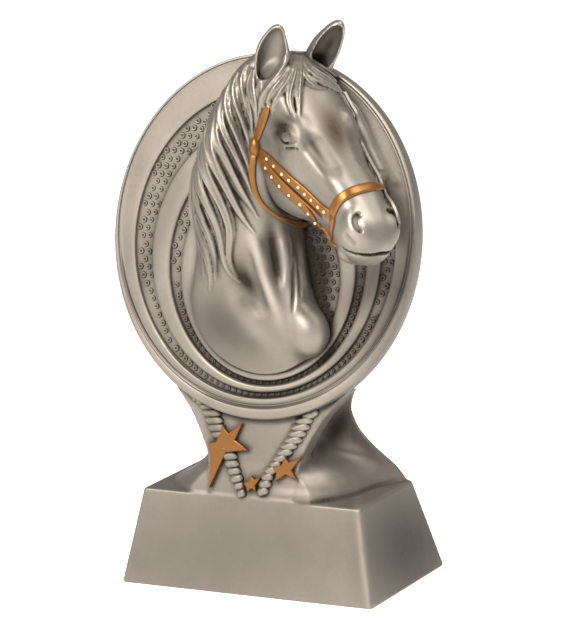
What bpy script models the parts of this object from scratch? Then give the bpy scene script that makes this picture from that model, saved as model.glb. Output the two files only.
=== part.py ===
"""Horse trophy: a horse's head in high relief on a leaning oval dish.

One hollow-free casting: plinth, flared stem with a flat front panel, dish with nested bands, two ropes,
three stars, and the horse with mane, ears and halter. Metres, +Z up, the front faces -Y, the underside
lies on Z = 0 and the middle of the plinth is on the Z axis.
"""
import bpy
import bmesh
from math import cos, pi, radians, sin
from mathutils import Matrix, Vector
from mathutils.bvhtree import BVHTree

for old in list(bpy.data.objects):
    bpy.data.objects.remove(old, do_unlink=True)

MM = 0.001

# Plinth: a block whose front and sides lean in a little and whose back leans in a lot.
BASE_WIDTH = 69.4 * MM
BASE_DEPTH = 49.4 * MM
BASE_HEIGHT = 24.8 * MM
BASE_SIDE_INSET = 4.8 * MM
BASE_FRONT_INSET = 3.3 * MM
BASE_BACK_INSET = 10.9 * MM
BASE_EDGE_RADIUS = 1.0 * MM

# Dish: an oval leaning back over the front half of the plinth.
DISH_LEAN = radians(9.4)
DISH_HALF_WIDTH = 41.6 * MM
DISH_HALF_HEIGHT = 46.3 * MM
DISH_CLEAR = 20.2 * MM
DISH_FRONT = 3.9 * MM
DISH_THICKNESS = 5.2 * MM
DISH_SEGMENTS = 64
BAND_STEP = 0.9 * MM
# Nested bands, outside in: half width, then lower and upper end, as shares of the dish's two half sizes.
BAND_EDGES = (
    ("rim", 1.000, -1.000, 1.000),
    ("smooth_1", 0.966, -0.920, 0.982),
    ("dots_1", 0.858, -0.877, 0.806),
    ("smooth_2", 0.752, -0.847, 0.640),
    ("dots_2", 0.647, -0.808, 0.510),
    ("smooth_3", 0.575, -0.782, 0.408),
    ("middle", 0.471, -0.739, 0.259),
)

# Stem: a flat fan-shaped panel parallel to the dish, in front of a swept foot.
PANEL_SETBACK = 2.6 * MM
PANEL_THICKNESS = 7.0 * MM
PANEL_FOOT_HALF = 11.2 * MM
PANEL_WAIST_HALF = 13.0 * MM
PANEL_TOP_HALF = 24.8 * MM
PANEL_WAIST_RISE = 11.0 * MM
PANEL_OVERLAP = 9.8 * MM
FOOT_LEDGE = 0.5 * MM

# Ropes and stars on the panel.
ROPE_STRANDS = 11
ROPE_TOP_WIDTH = 5.4 * MM
ROPE_FOOT_WIDTH = 3.2 * MM
ROPE_HEIGHT = 1.4 * MM
STAR_THICKNESS = 1.3 * MM

# Horse: the head hangs from the poll, turned to its left. Its own parts are shares of the head length.
HEAD_LENGTH = 54.5 * MM
HEAD_YAW = radians(63.0)
HEAD_PITCH = radians(34.0)
POLL_ASIDE = 12.1 * MM
POLL_BELOW_TOP = 2.2 * MM
POLL_PROUD = 12.6 * MM
VOXEL = HEAD_LENGTH / 64
HORSE_KEEP = 0.13
HORSE_SINK = 0.65 * DISH_THICKNESS
MANE_LOCKS = 8
LOCK_WIDTH = 4.6 * MM
FORELOCK_LOCKS = 5
STRAP_WIDTH = 3.2 * MM
STRAP_RAISE = 0.9 * MM

ROOT = "horse_trophy"


def collection(name, hidden=False):
    made = bpy.data.collections.new(name)
    bpy.context.scene.collection.children.link(made)
    made.hide_render = hidden
    return made


PIECES = collection(ROOT)
TOOLS = collection(ROOT + "_tools", hidden=True)


def material(name, colour, roughness, metallic):
    mat = bpy.data.materials.new(name)
    mat.use_nodes = True
    shader = mat.node_tree.nodes["Principled BSDF"]
    shader.inputs["Base Color"].default_value = (*colour, 1.0)
    shader.inputs["Roughness"].default_value = roughness
    shader.inputs["Metallic"].default_value = metallic
    return mat


def mesh_object(name, bm, where):
    bmesh.ops.recalc_face_normals(bm, faces=bm.faces)
    mesh = bpy.data.meshes.new(name)
    bm.to_mesh(mesh)
    bm.free()
    made = bpy.data.objects.new(name, mesh)
    where.objects.link(made)
    if where is TOOLS:
        made.hide_render = True
        made.display_type = "WIRE"
    return made


def mix(a, b, t):
    return a + (b - a) * t


def smooth_line(points, steps):
    """Catmull-Rom line through the points, with the given number of steps between two of them."""
    line = []
    last = len(points) - 1
    for i in range(last):
        p0 = points[max(i - 1, 0)]
        p1 = points[i]
        p2 = points[i + 1]
        p3 = points[min(i + 2, last)]
        for k in range(steps):
            t = k / steps
            line.append(0.5 * (2 * p1 + (p2 - p0) * t + (2 * p0 - 5 * p1 + 4 * p2 - p3) * t * t
                               + (3 * p1 - p0 - 3 * p2 + p3) * t ** 3))
    line.append(points[-1].copy())
    return line


def loft(bm, rings):
    """Joins closed rings of the same count in order and caps both ends."""
    rows = [[bm.verts.new(point) for point in ring] for ring in rings]
    count = len(rows[0])
    for low, high in zip(rows, rows[1:]):
        for i in range(count):
            j = (i + 1) % count
            bm.faces.new((low[i], low[j], high[j], high[i]))
    bm.faces.new(list(reversed(rows[0])))
    bm.faces.new(rows[-1])


def ribbon_rings(line, facing, width, height, sides):
    """Oval rings along a line; width(t) and height(t) are full sizes, facing(t) is the flat side's normal."""
    rings = []
    last = len(line) - 1
    for i, point in enumerate(line):
        t = i / last
        ahead = (line[min(i + 1, last)] - line[max(i - 1, 0)]).normalized()
        normal = facing(t)
        normal = (normal - ahead * normal.dot(ahead)).normalized()
        across = ahead.cross(normal)
        rings.append([point + across * (0.5 * width(t) * cos(2 * pi * k / sides))
                      + normal * (0.5 * height(t) * sin(2 * pi * k / sides)) for k in range(sides)])
    return rings


# Dish frame: u to the viewer's right, v up along the dish, n out to the front.
DISH_V = Vector((0.0, sin(DISH_LEAN), cos(DISH_LEAN)))
DISH_N = Vector((0.0, -cos(DISH_LEAN), sin(DISH_LEAN)))
DISH_LOWEST = Vector((0.0, BASE_FRONT_INSET + DISH_FRONT - DISH_CLEAR * DISH_LEAN - 0.5 * BASE_DEPTH,
                      BASE_HEIGHT + DISH_CLEAR))
DISH_CENTRE = DISH_LOWEST + DISH_V * DISH_HALF_HEIGHT


def on_dish(u, v, n=0.0):
    return DISH_CENTRE + Vector((u, 0.0, 0.0)) + DISH_V * v + DISH_N * n


def on_panel(x, z, n=0.0):
    """Point at x and height z on the panel's front face, n out from it."""
    v = (z - DISH_CENTRE.z + PANEL_SETBACK * DISH_N.z) / DISH_V.z
    return on_dish(x, v, n - PANEL_SETBACK)


def plinth():
    bm = bmesh.new()
    bmesh.ops.create_cube(bm, size=1.0)
    for vert in bm.verts:
        top = vert.co.z > 0
        x = vert.co.x * BASE_WIDTH
        y = vert.co.y * BASE_DEPTH
        if top:
            x -= BASE_SIDE_INSET if x > 0 else -BASE_SIDE_INSET
            y += BASE_FRONT_INSET if y < 0 else -BASE_BACK_INSET
        vert.co = (x, y, BASE_HEIGHT if top else 0.0)
    made = mesh_object("trophy_casting", bm, PIECES)
    bevel = made.modifiers.new("rounded_edges", "BEVEL")
    bevel.width = BASE_EDGE_RADIUS
    bevel.segments = 3
    return made


def panel():
    """Fan-shaped plate parallel to the dish, from the plinth's front edge up behind the dish."""
    outline = [(PANEL_FOOT_HALF, BASE_HEIGHT - 1.0 * MM)]
    steps = 14
    top_rise = DISH_CLEAR + PANEL_OVERLAP
    for k in range(steps + 1):
        rise = top_rise * k / steps
        if rise < PANEL_WAIST_RISE:
            half = mix(PANEL_FOOT_HALF, PANEL_WAIST_HALF, (rise / PANEL_WAIST_RISE) ** 2)
        else:
            s = (rise - PANEL_WAIST_RISE) / (top_rise - PANEL_WAIST_RISE)
            half = mix(PANEL_WAIST_HALF, PANEL_TOP_HALF, 0.5 * s + 0.5 * s * s)
        outline.append((half, BASE_HEIGHT + rise))
    outline = outline + [(-x, z) for x, z in reversed(outline)]
    bm = bmesh.new()
    loft(bm, [[on_panel(x, z, -PANEL_THICKNESS) for x, z in outline], [on_panel(x, z) for x, z in outline]])
    return mesh_object("panel", bm, TOOLS)


def foot():
    """Swept foot: a pillow on the plinth in front, hollow flanks, and a back that sweeps to the rear corners."""
    front_y = FOOT_LEDGE + BASE_FRONT_INSET - 0.5 * BASE_DEPTH
    rear_y = 0.5 * BASE_DEPTH - BASE_BACK_INSET - FOOT_LEDGE
    rear_half = 0.5 * BASE_WIDTH - BASE_SIDE_INSET - FOOT_LEDGE
    # Share of the way up to the dish, then as shares: depth behind the panel's face, width of the hollow
    # flank, its depth, width at the back, and how far the back reaches from the dish to the plinth's rear.
    stations = (
        (-0.13, 0.00, 0.68, 0.37, 1.00, 1.00),
        (0.10, 0.01, 0.68, 0.38, 0.99, 0.98),
        (0.21, 0.05, 0.64, 0.37, 0.95, 0.94),
        (0.32, 0.09, 0.55, 0.35, 0.90, 0.89),
        (0.45, 0.11, 0.45, 0.31, 0.83, 0.79),
        (0.60, 0.12, 0.39, 0.27, 0.77, 0.66),
        (0.79, 0.14, 0.40, 0.23, 0.72, 0.49),
        (1.00, 0.15, 0.49, 0.20, 0.73, 0.33),
        (1.18, 0.04, 0.65, 0.10, 0.80, 0.20),
        (1.38, 0.03, 0.72, 0.07, 0.87, 0.13),
        (1.76, 0.01, 0.66, 0.01, 0.86, -0.04),
    )
    depth = rear_y - front_y
    rings = []
    for rise, front, hollow, hollow_y, back, back_y in stations:
        z = BASE_HEIGHT + rise * DISH_CLEAR
        sunk = 0.7 * MM if rise > 1.5 else -1.0 * MM
        behind = on_panel(0.0, z, sunk).y if rise > 1.0 else front_y
        dish_back = on_panel(0.0, z, PANEL_SETBACK - DISH_THICKNESS).y
        y0 = behind + front * depth * 0.5
        y1 = behind + hollow_y * depth
        y2 = mix(dish_back, rear_y, back_y)
        x1 = rear_half * hollow
        x2 = rear_half * back
        half = [
            Vector((0.0, y0, z)),
            Vector((0.52 * x1, mix(y0, y1, 0.22), z)),
            Vector((0.86 * x1, mix(y0, y1, 0.62), z)),
            Vector((x1, y1, z)),
            Vector((mix(x1, x2, 0.55), mix(y1, y2, 0.45), z)),
            Vector((x2, mix(y1, y2, 0.93), z)),
            Vector((0.93 * x2, mix(y1, y2, 1.0), z)),
            Vector((0.5 * x2, mix(y1, y2, 1.02), z)),
        ]
        ring = half + [Vector((0.0, mix(y1, y2, 1.03), z))]
        rings.append(ring + [Vector((-p.x, p.y, p.z)) for p in reversed(half[1:])])
    bm = bmesh.new()
    loft(bm, rings)
    return mesh_object("foot", bm, TOOLS)


def oval(half_width, low, high, n, grow=0.0):
    """Oval ring on the dish, its ends given as shares of the dish's half height."""
    middle = 0.5 * (low + high) * DISH_HALF_HEIGHT
    tall = 0.5 * (high - low) * DISH_HALF_HEIGHT + grow
    wide = half_width * DISH_HALF_WIDTH + grow
    return [on_dish(wide * cos(2 * pi * k / DISH_SEGMENTS), middle + tall * sin(2 * pi * k / DISH_SEGMENTS), n)
            for k in range(DISH_SEGMENTS)]


def dish():
    """Flat-backed oval whose front steps between smooth and dotted bands."""
    rings = [oval(0.93, -0.94, 0.94, -DISH_THICKNESS)]
    rings.append(oval(1.0, -1.0, 1.0, -DISH_THICKNESS + 1.2 * MM))
    rings.append(oval(1.0, -1.0, 1.0, -0.8 * MM))
    rings.append(oval(0.988, -0.986, 0.992, 0.0))
    name, half, low, high = BAND_EDGES[1]
    rings.append(oval(half, low, high, -0.2 * MM, 0.3 * MM))
    rings.append(oval(half, low, high, -0.6 * MM))
    for i in range(1, len(BAND_EDGES) - 1):
        name, half, low, high = BAND_EDGES[i]
        next_half, next_low, next_high = BAND_EDGES[i + 1][1:]
        if name.startswith("smooth"):
            level = -0.2 * MM
            rings.append(oval(half, low, high, level, -0.5 * MM))
            rings.append(oval(next_half, next_low, next_high, level, 0.2 * MM))
            rings.append(oval(next_half, next_low, next_high, level - BAND_STEP))
        else:
            rings.append(oval(next_half, next_low, next_high, -0.2 * MM - BAND_STEP, 0.2 * MM))
    bm = bmesh.new()
    loft(bm, rings)
    return mesh_object("dish", bm, TOOLS)


def ropes():
    """Two ropes that hang from under the dish and meet in a V at the plinth's front edge."""
    bm = bmesh.new()
    for side in (-1.0, 1.0):
        start = on_panel(side * 1.24 * PANEL_WAIST_HALF, BASE_HEIGHT + 1.24 * DISH_CLEAR)
        end = on_panel(side * 0.6 * ROPE_FOOT_WIDTH, BASE_HEIGHT + 0.03 * DISH_CLEAR)
        count = 2 * ROPE_STRANDS
        line = [start.lerp(end, k / count) for k in range(count + 1)]
        groove = [1.0 if k % 2 else 0.72 for k in range(count + 1)]

        def width(t):
            return mix(ROPE_TOP_WIDTH, ROPE_FOOT_WIDTH, t) * groove[round(t * count)]

        def height(t):
            return 2.0 * ROPE_HEIGHT * groove[round(t * count)]

        loft(bm, ribbon_rings(line, lambda t: DISH_N, width, height, 6))
    return mesh_object("ropes", bm, TOOLS)


def star(name, centre, tips):
    """Flat five-pointed plate on the panel; centre and tips in millimetres, x and height above the plinth."""
    middle = Vector((centre[0], centre[1]))
    points = []
    for i, tip in enumerate(tips):
        here = Vector(tip)
        ahead = Vector(tips[(i + 1) % len(tips)])
        points.append(here)
        points.append(mix(middle, mix(here, ahead, 0.5), 0.45))
    grow = PANEL_WAIST_HALF / 13.0
    outline = [(p.x * grow, BASE_HEIGHT + p.y * grow) for p in points]
    bm = bmesh.new()
    loft(bm, [[on_panel(x, z, -1.0 * MM) for x, z in outline],
              [on_panel(x, z, STAR_THICKNESS) for x, z in outline]])
    return mesh_object(name, bm, TOOLS)


# Head frame: along the face from the poll, out of the forehead, and out of the horse's near cheek.
FORWARD = Vector((sin(HEAD_YAW), -cos(HEAD_YAW), 0.0))
ALONG = FORWARD * sin(HEAD_PITCH) + Vector((0.0, 0.0, -cos(HEAD_PITCH)))
BROW = FORWARD * cos(HEAD_PITCH) + Vector((0.0, 0.0, sin(HEAD_PITCH)))
NEAR = Vector((-cos(HEAD_YAW), -sin(HEAD_YAW), 0.0))
POLL = on_dish(POLL_ASIDE, DISH_HALF_HEIGHT - POLL_BELOW_TOP, POLL_PROUD)


def in_head(along, brow, near):
    """Point from shares of the head length."""
    return POLL + (ALONG * along + BROW * brow + NEAR * near) * HEAD_LENGTH


def head_blob(bm, along, brow, near, size):
    turn = Matrix((ALONG, BROW, NEAR)).transposed().to_4x4()
    scale = Matrix.Diagonal((size[0] * HEAD_LENGTH, size[1] * HEAD_LENGTH, size[2] * HEAD_LENGTH, 1.0))
    place = Matrix.Translation(in_head(along, brow, near)) @ turn @ scale
    bmesh.ops.create_icosphere(bm, subdivisions=3, radius=1.0, matrix=place)


def from_poll(u, v, n):
    """Point from the poll along the dish's axes, in shares of the head length."""
    return POLL + (Vector((u, 0.0, 0.0)) + DISH_V * v + DISH_N * n) * HEAD_LENGTH


def dish_blob(bm, u, v, n, size):
    turn = Matrix((Vector((1.0, 0.0, 0.0)), DISH_V, DISH_N)).transposed().to_4x4()
    scale = Matrix.Diagonal((size[0] * HEAD_LENGTH, size[1] * HEAD_LENGTH, size[2] * HEAD_LENGTH, 1.0))
    place = Matrix.Translation(from_poll(u, v, n)) @ turn @ scale
    bmesh.ops.create_icosphere(bm, subdivisions=3, radius=1.0, matrix=place)


def limb(bm, points, radii, sides=12):
    """Round limb through the points with a rounded end at both."""
    line = smooth_line(points, 4)
    last = len(line) - 1
    sizes = smooth_line([Vector((r, 0.0, 0.0)) for r in radii], 4)

    def size(t):
        return 2.0 * sizes[round(t * last)].x

    loft(bm, ribbon_rings(line, lambda t: DISH_N, size, size, sides))
    for point, radius in ((points[0], radii[0]), (points[-1], radii[-1])):
        bmesh.ops.create_icosphere(bm, subdivisions=3, radius=radius, matrix=Matrix.Translation(point))


def lock(bm, points, width, height, facing, sides=8):
    """Flat lock of hair that swells in the middle and ends in a point."""
    line = smooth_line(points, 4)
    loft(bm, ribbon_rings(line, lambda t: facing, lambda t: width * (0.35 + 0.95 * sin(pi * t ** 0.8)) + 0.3 * MM,
                          lambda t: height * (0.5 + 0.6 * sin(pi * t)) + 0.3 * MM, sides))


def horse_mass():
    bm = bmesh.new()
    # Skull, bridge of the nose, jowls, jaw, muzzle and lips, as shares of the head length.
    head_blob(bm, 0.20, -0.17, 0.0, (0.23, 0.17, 0.165))
    head_blob(bm, 0.31, -0.10, 0.0, (0.20, 0.13, 0.195))
    head_blob(bm, 0.52, -0.05, 0.0, (0.28, 0.115, 0.13))
    head_blob(bm, 0.74, 0.005, 0.0, (0.20, 0.095, 0.115))
    head_blob(bm, 0.50, -0.25, 0.09, (0.20, 0.20, 0.085))
    head_blob(bm, 0.50, -0.25, -0.09, (0.20, 0.20, 0.085))
    head_blob(bm, 0.70, -0.14, 0.0, (0.22, 0.09, 0.10))
    head_blob(bm, 0.87, 0.0, 0.0, (0.125, 0.115, 0.135))
    head_blob(bm, 0.95, 0.0, 0.0, (0.07, 0.085, 0.105))
    head_blob(bm, 0.925, -0.13, 0.0, (0.065, 0.05, 0.08))
    for side in (1.0, -1.0):
        head_blob(bm, 0.27, -0.035, 0.16 * side, (0.10, 0.05, 0.05))
        head_blob(bm, 0.32, -0.075, 0.185 * side, (0.045, 0.045, 0.03))
        head_blob(bm, 0.87, 0.06, 0.10 * side, (0.055, 0.05, 0.045))
    # Chest and neck on the dish, up to the poll.
    dish_blob(bm, -0.20, -1.16, -0.26, (0.34, 0.29, 0.20))
    neck = [from_poll(-0.17, -1.21, -0.21), from_poll(-0.22, -0.97, -0.18), from_poll(-0.29, -0.70, -0.15),
            from_poll(-0.29, -0.44, -0.13), from_poll(-0.18, -0.185, -0.12)]
    limb(bm, neck, [r * HEAD_LENGTH for r in (0.165, 0.23, 0.248, 0.23, 0.20)])
    # Web that ties the far side of the head to the dish.
    web = [in_head(0.12, -0.12, -0.16), in_head(0.42, -0.12, -0.20), in_head(0.66, -0.10, -0.20)]
    limb(bm, web, [r * HEAD_LENGTH for r in (0.147, 0.12, 0.073)])
    made = mesh_object("horse_mass", bm, TOOLS)
    fuse = made.modifiers.new("fuse", "REMESH")
    fuse.mode = "VOXEL"
    fuse.voxel_size = VOXEL
    soften = made.modifiers.new("soften", "SMOOTH")
    soften.factor = 0.5
    soften.iterations = 6
    return made


def surface_of(made):
    """Search tree of an object's finished surface."""
    depsgraph = bpy.context.evaluated_depsgraph_get()
    return BVHTree.FromObject(made, depsgraph)


def ear(bm, near, tip_along, tip_brow, tip_near):
    """Cupped ear: a leaf with a pointed tip, hollowed toward the front."""
    root = in_head(0.035, -0.08, near)
    middle = in_head(tip_along * 0.45, tip_brow * 0.3 - 0.02, mix(near, tip_near, 0.55))
    tip = in_head(tip_along, tip_brow, tip_near)
    line = smooth_line([root, middle, tip], 5)
    face = (BROW * 0.9 + NEAR * (0.35 if near > 0 else -0.15) - ALONG * 0.2).normalized()
    rings = []
    last = len(line) - 1
    for i, point in enumerate(line):
        t = i / last
        ahead = (line[min(i + 1, last)] - line[max(i - 1, 0)]).normalized()
        normal = (face - ahead * face.dot(ahead)).normalized()
        across = ahead.cross(normal)
        half = HEAD_LENGTH * 0.085 * (0.75 + 0.5 * sin(pi * min(t * 1.15, 1.0))) * (1.0 - t ** 4) + 0.5 * MM
        deep = HEAD_LENGTH * 0.075 * (1.0 - 0.7 * t)
        ring = []
        for k in range(9):
            a = -1.0 + 2.0 * k / 8
            ring.append(point + across * half * a - normal * deep * (1.0 - a * a) + normal * 0.2 * deep)
        for k in range(9):
            a = 1.0 - 2.0 * k / 8
            ring.append(point + across * half * 0.72 * a - normal * deep * (0.55 - 0.55 * a * a)
                        + normal * 0.25 * deep)
        rings.append(ring)
    loft(bm, rings)


def ears():
    bm = bmesh.new()
    ear(bm, 0.10, -0.150, 0.075, 0.150)
    ear(bm, -0.10, -0.115, 0.155, -0.195)
    return mesh_object("ears", bm, TOOLS)


def laid(tree, points, lift):
    """Moves points onto the surface under them, lifted along its normal."""
    line = []
    for point in points:
        place, normal, index, distance = tree.find_nearest(point)
        line.append(place + normal * lift)
    return line


def band(bm, tree, points, width, raise_by):
    line = laid(tree, smooth_line(points, 4), 0.0)
    normals = [tree.find_nearest(point)[1] for point in line]
    last = len(line) - 1
    loft(bm, ribbon_rings(line, lambda t: normals[round(t * last)], lambda t: width, lambda t: 2.0 * raise_by, 8))


def horse_details(tree):
    """Ears, mane, forelock and halter over the fused mass."""
    bm = bmesh.new()
    # Mane: locks fan from the poll and sweep down over the crest to staggered tips.
    for i in range(MANE_LOCKS):
        t = i / (MANE_LOCKS - 1)
        root = mix(from_poll(-0.17, -0.125, 0.05), from_poll(-0.35, -0.155, -0.10), t)
        tip = mix(from_poll(-0.185, -0.73, 0.12), from_poll(-0.57, -0.93, -0.23), t)
        tip += DISH_V * (0.09 * HEAD_LENGTH * (1.0 if i % 2 else -1.0))
        bend = Vector((-0.048, -0.022, 0.0)) * HEAD_LENGTH
        points = [root, mix(root, tip, 0.33) + bend * 1.6, mix(root, tip, 0.68) - bend * 0.2, tip + bend * 0.5]
        line = laid(tree, points, 0.9 * MM)
        lock(bm, line, LOCK_WIDTH, 3.4 * MM, Vector((-0.35, -0.9, 0.1)))
    # Forelock: locks fan from between the ears over the forehead.
    for i in range(FORELOCK_LOCKS):
        t = i / (FORELOCK_LOCKS - 1)
        root = in_head(0.0, -0.02, mix(0.04, -0.04, t))
        tip = in_head(mix(0.34, 0.16, t), 0.02, mix(0.24, -0.22, t))
        points = laid(tree, [root, mix(root, tip, 0.4) + BROW * 2.0 * MM, mix(root, tip, 0.75), tip], 0.7 * MM)
        lock(bm, points, LOCK_WIDTH * 0.9, 2.6 * MM, BROW)
    # Halter: noseband, cheek straps, throat strap, crown strap and rosette.
    ring = []
    for k in range(17):
        a = 2 * pi * k / 16
        ring.append(in_head(0.70 + 0.02 * cos(a), -0.06 + 0.20 * sin(a), 0.20 * cos(a)))
    band(bm, tree, ring, STRAP_WIDTH, STRAP_RAISE)
    rosette = in_head(0.30, -0.36, 0.20)
    nose_end = in_head(0.72, -0.16, 0.14)
    band(bm, tree, [rosette, in_head(0.44, -0.30, 0.22), in_head(0.58, -0.20, 0.2), nose_end], STRAP_WIDTH * 1.5,
         STRAP_RAISE)
    band(bm, tree, [rosette, in_head(0.42, -0.46, 0.16), in_head(0.60, -0.42, 0.14), in_head(0.72, -0.24, 0.12)],
         STRAP_WIDTH * 0.8, STRAP_RAISE)
    band(bm, tree, [rosette, in_head(0.18, -0.30, 0.20), in_head(0.05, -0.2, 0.14)], STRAP_WIDTH, STRAP_RAISE)
    place, normal, index, distance = tree.find_nearest(rosette)
    bmesh.ops.create_icosphere(bm, subdivisions=2, radius=2.2 * MM, matrix=Matrix.Translation(place))
    return mesh_object("horse_details", bm, TOOLS)


def horse(mass, details):
    """The fused mass with its details, thinned to the few faces a part can carry."""
    depsgraph = bpy.context.evaluated_depsgraph_get()
    bm = bmesh.new()
    bm.from_mesh(bpy.data.meshes.new_from_object(mass.evaluated_get(depsgraph)))
    bm.from_mesh(details.data)
    for vert in bm.verts:
        behind = (vert.co - DISH_CENTRE).dot(DISH_N) + HORSE_SINK
        if behind < 0.0:
            vert.co -= DISH_N * behind
    made = mesh_object("horse", bm, TOOLS)
    fuse = made.modifiers.new("fuse", "REMESH")
    fuse.mode = "VOXEL"
    fuse.voxel_size = VOXEL
    soften = made.modifiers.new("soften", "SMOOTH")
    soften.factor = 0.5
    soften.iterations = 2
    thin = made.modifiers.new("thin", "DECIMATE")
    thin.ratio = HORSE_KEEP
    bpy.data.objects.remove(details, do_unlink=True)
    bpy.data.objects.remove(mass, do_unlink=True)
    return made


def unite(target, tools):
    join = target.modifiers.new("cast_as_one", "BOOLEAN")
    join.operation = "UNION"
    join.solver = "EXACT"
    join.operand_type = "COLLECTION"
    join.collection = tools


pewter = material("antique_pewter", (0.42, 0.39, 0.34), 0.38, 0.85)
casting = plinth()
casting.data.materials.append(pewter)

panel()
foot()
dish()
ropes()
star("big_star", (-7.6, 13.2), ((-8.8, 18.2), (-3.3, 18.7), (-1.4, 11.6), (-11.1, 1.8), (-13.0, 12.7)))
star("medium_star", (9.1, 8.1), ((9.1, 11.6), (13.2, 11.2), (12.4, 5.8), (6.6, 4.7), (5.4, 8.6)))
star("small_star", (-0.2, 3.8), ((0.0, 6.4), (2.2, 4.6), (1.3, 1.8), (-1.8, 1.7), (-2.5, 4.6)))
ears()
mass = horse_mass()
horse(mass, horse_details(surface_of(mass)))
unite(casting, TOOLS)
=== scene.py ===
import math
from itertools import product

import bpy
import numpy as np
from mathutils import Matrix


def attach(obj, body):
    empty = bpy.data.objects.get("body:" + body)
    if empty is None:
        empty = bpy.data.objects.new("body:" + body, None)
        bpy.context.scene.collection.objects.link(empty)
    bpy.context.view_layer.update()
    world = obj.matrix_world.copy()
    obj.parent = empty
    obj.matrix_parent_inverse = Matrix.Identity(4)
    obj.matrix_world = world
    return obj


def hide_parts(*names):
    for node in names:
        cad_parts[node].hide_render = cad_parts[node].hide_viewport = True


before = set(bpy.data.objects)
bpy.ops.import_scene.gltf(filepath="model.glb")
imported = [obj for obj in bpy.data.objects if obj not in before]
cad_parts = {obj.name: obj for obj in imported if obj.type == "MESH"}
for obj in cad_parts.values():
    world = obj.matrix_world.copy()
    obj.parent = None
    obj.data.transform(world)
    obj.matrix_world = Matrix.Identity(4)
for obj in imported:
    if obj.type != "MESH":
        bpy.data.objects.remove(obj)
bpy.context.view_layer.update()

import openvdb
from mathutils import Matrix, Vector
from mathutils.bvhtree import BVHTree

MM = 0.001
FAR = 6.0  # distances to a surface are kept up to this far from it

# ------------------------------------------------------------------ places
# Lengths are in millimetres until a mesh is made.


class Place:
    """A frame of its own on the trophy: an origin and three directions."""

    def __init__(self, origin, *axes):
        self.origin = np.array(origin, float)
        self.axes = np.array(axes, float)

    def out(self, p):
        return self.origin + np.asarray(p, float) @ self.axes

    def into(self, p):
        return (np.asarray(p, float) - self.origin) @ self.axes.T


DISH_LEAN = math.radians(9.4)
DISH_HALF_HEIGHT = 46.3
DISH_LOW = np.array((0.0, -20.814, 45.0))
DISH_V = np.array((0.0, math.sin(DISH_LEAN), math.cos(DISH_LEAN)))
DISH_N = np.array((0.0, -math.cos(DISH_LEAN), math.sin(DISH_LEAN)))
DISH = Place(DISH_LOW + DISH_V * DISH_HALF_HEIGHT, (1.0, 0.0, 0.0), DISH_V, DISH_N)

HEAD_YAW = math.radians(63.0)
HEAD_PITCH = math.radians(34.0)
FORWARD = np.array((math.sin(HEAD_YAW), -math.cos(HEAD_YAW), 0.0))
UPWARD = np.array((0.0, 0.0, 1.0))
HEAD = Place(
    DISH.out((12.1, 44.1, 12.6)),
    FORWARD * math.sin(HEAD_PITCH) - UPWARD * math.cos(HEAD_PITCH),
    FORWARD * math.cos(HEAD_PITCH) + UPWARD * math.sin(HEAD_PITCH),
    (-math.cos(HEAD_YAW), -math.sin(HEAD_YAW), 0.0),
)

# ------------------------------------------------------------------ camera
# Fitted to the plinth's edges and the dish's outline in the picture.

PHOTO = (570, 630)
FOCAL = 4400.0
SENSOR = 36.0
VIEW_AZIMUTH = math.radians(23.6247)
VIEW_RISE = math.radians(11.2032)
VIEW_AT = np.array((0.1619, 0.0, 68.1531))
VIEW_DISTANCE = 1124.0
AHEAD = np.array(
    (
        -math.sin(VIEW_AZIMUTH) * math.cos(VIEW_RISE),
        math.cos(VIEW_AZIMUTH) * math.cos(VIEW_RISE),
        -math.sin(VIEW_RISE),
    )
)
RIGHT = np.array((math.cos(VIEW_AZIMUTH), math.sin(VIEW_AZIMUTH), 0.0))
TOP = np.cross(RIGHT, AHEAD)
EYE = VIEW_AT - AHEAD * VIEW_DISTANCE


def make_camera():
    data = bpy.data.cameras.new("camera")
    data.sensor_width = SENSOR
    data.lens = FOCAL / max(PHOTO) * SENSOR
    data.clip_start, data.clip_end = 0.1, 20.0
    ob = linked(bpy.data.objects.new("camera", data))
    turn = Matrix((Vector(RIGHT), Vector(TOP), Vector(-AHEAD))).transposed().to_4x4()
    ob.matrix_world = Matrix.Translation(Vector(EYE * MM)) @ turn
    bpy.context.scene.camera = ob


def sight(x, y):
    """Direction in which the camera sees a place of the picture."""
    d = AHEAD + RIGHT * ((x - PHOTO[0] / 2) / FOCAL) - TOP * ((y - PHOTO[1] / 2) / FOCAL)
    return d / np.linalg.norm(d)


def seen_at(x, y, place, axis, value):
    """The point seen there, on the plane where that axis of the place has the value."""
    d = sight(x, y)
    normal = place.axes[axis]
    t = (value - (EYE - place.origin) @ normal) / (d @ normal)
    return EYE + d * t


def soften(points, rounds):
    """Points averaged with their neighbours, with the two ends left where they are."""
    points = np.array(points, float)
    for _ in range(rounds):
        points[1:-1] = 0.25 * points[:-2] + 0.5 * points[1:-1] + 0.25 * points[2:]
    return points


def curve(path, t):
    """Points of a smooth line through the places of a path, at parts t of each span."""
    p = np.array(path, float)
    ends = np.vstack((2 * p[0] - p[1], p, 2 * p[-1] - p[-2]))
    t = t[:, None]
    made = [
        0.5 * (2 * b + (c - a) * t + (2 * a - 5 * b + 4 * c - d) * t**2 + (3 * b - a - 3 * c + d) * t**3)
        for a, b, c, d in zip(ends[:-3], ends[1:-2], ends[2:-1], ends[3:])
    ]
    return np.vstack((*made, p[-1:]))


def flowing(path, spacing):
    """A smooth line through the places of a path, evenly spaced."""
    p = np.array(path, float)
    if len(p) > 2:
        p = curve(p, np.linspace(0, 1, 12, endpoint=False))
    reach = np.concatenate(((0,), np.cumsum(np.linalg.norm(np.diff(p, axis=0), axis=1))))
    count = max(3, int(round(reach[-1] / spacing)) + 1)
    at = np.linspace(0, reach[-1], count)
    return np.stack([np.interp(at, reach, p[:, k]) for k in range(p.shape[1])], 1)


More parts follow.
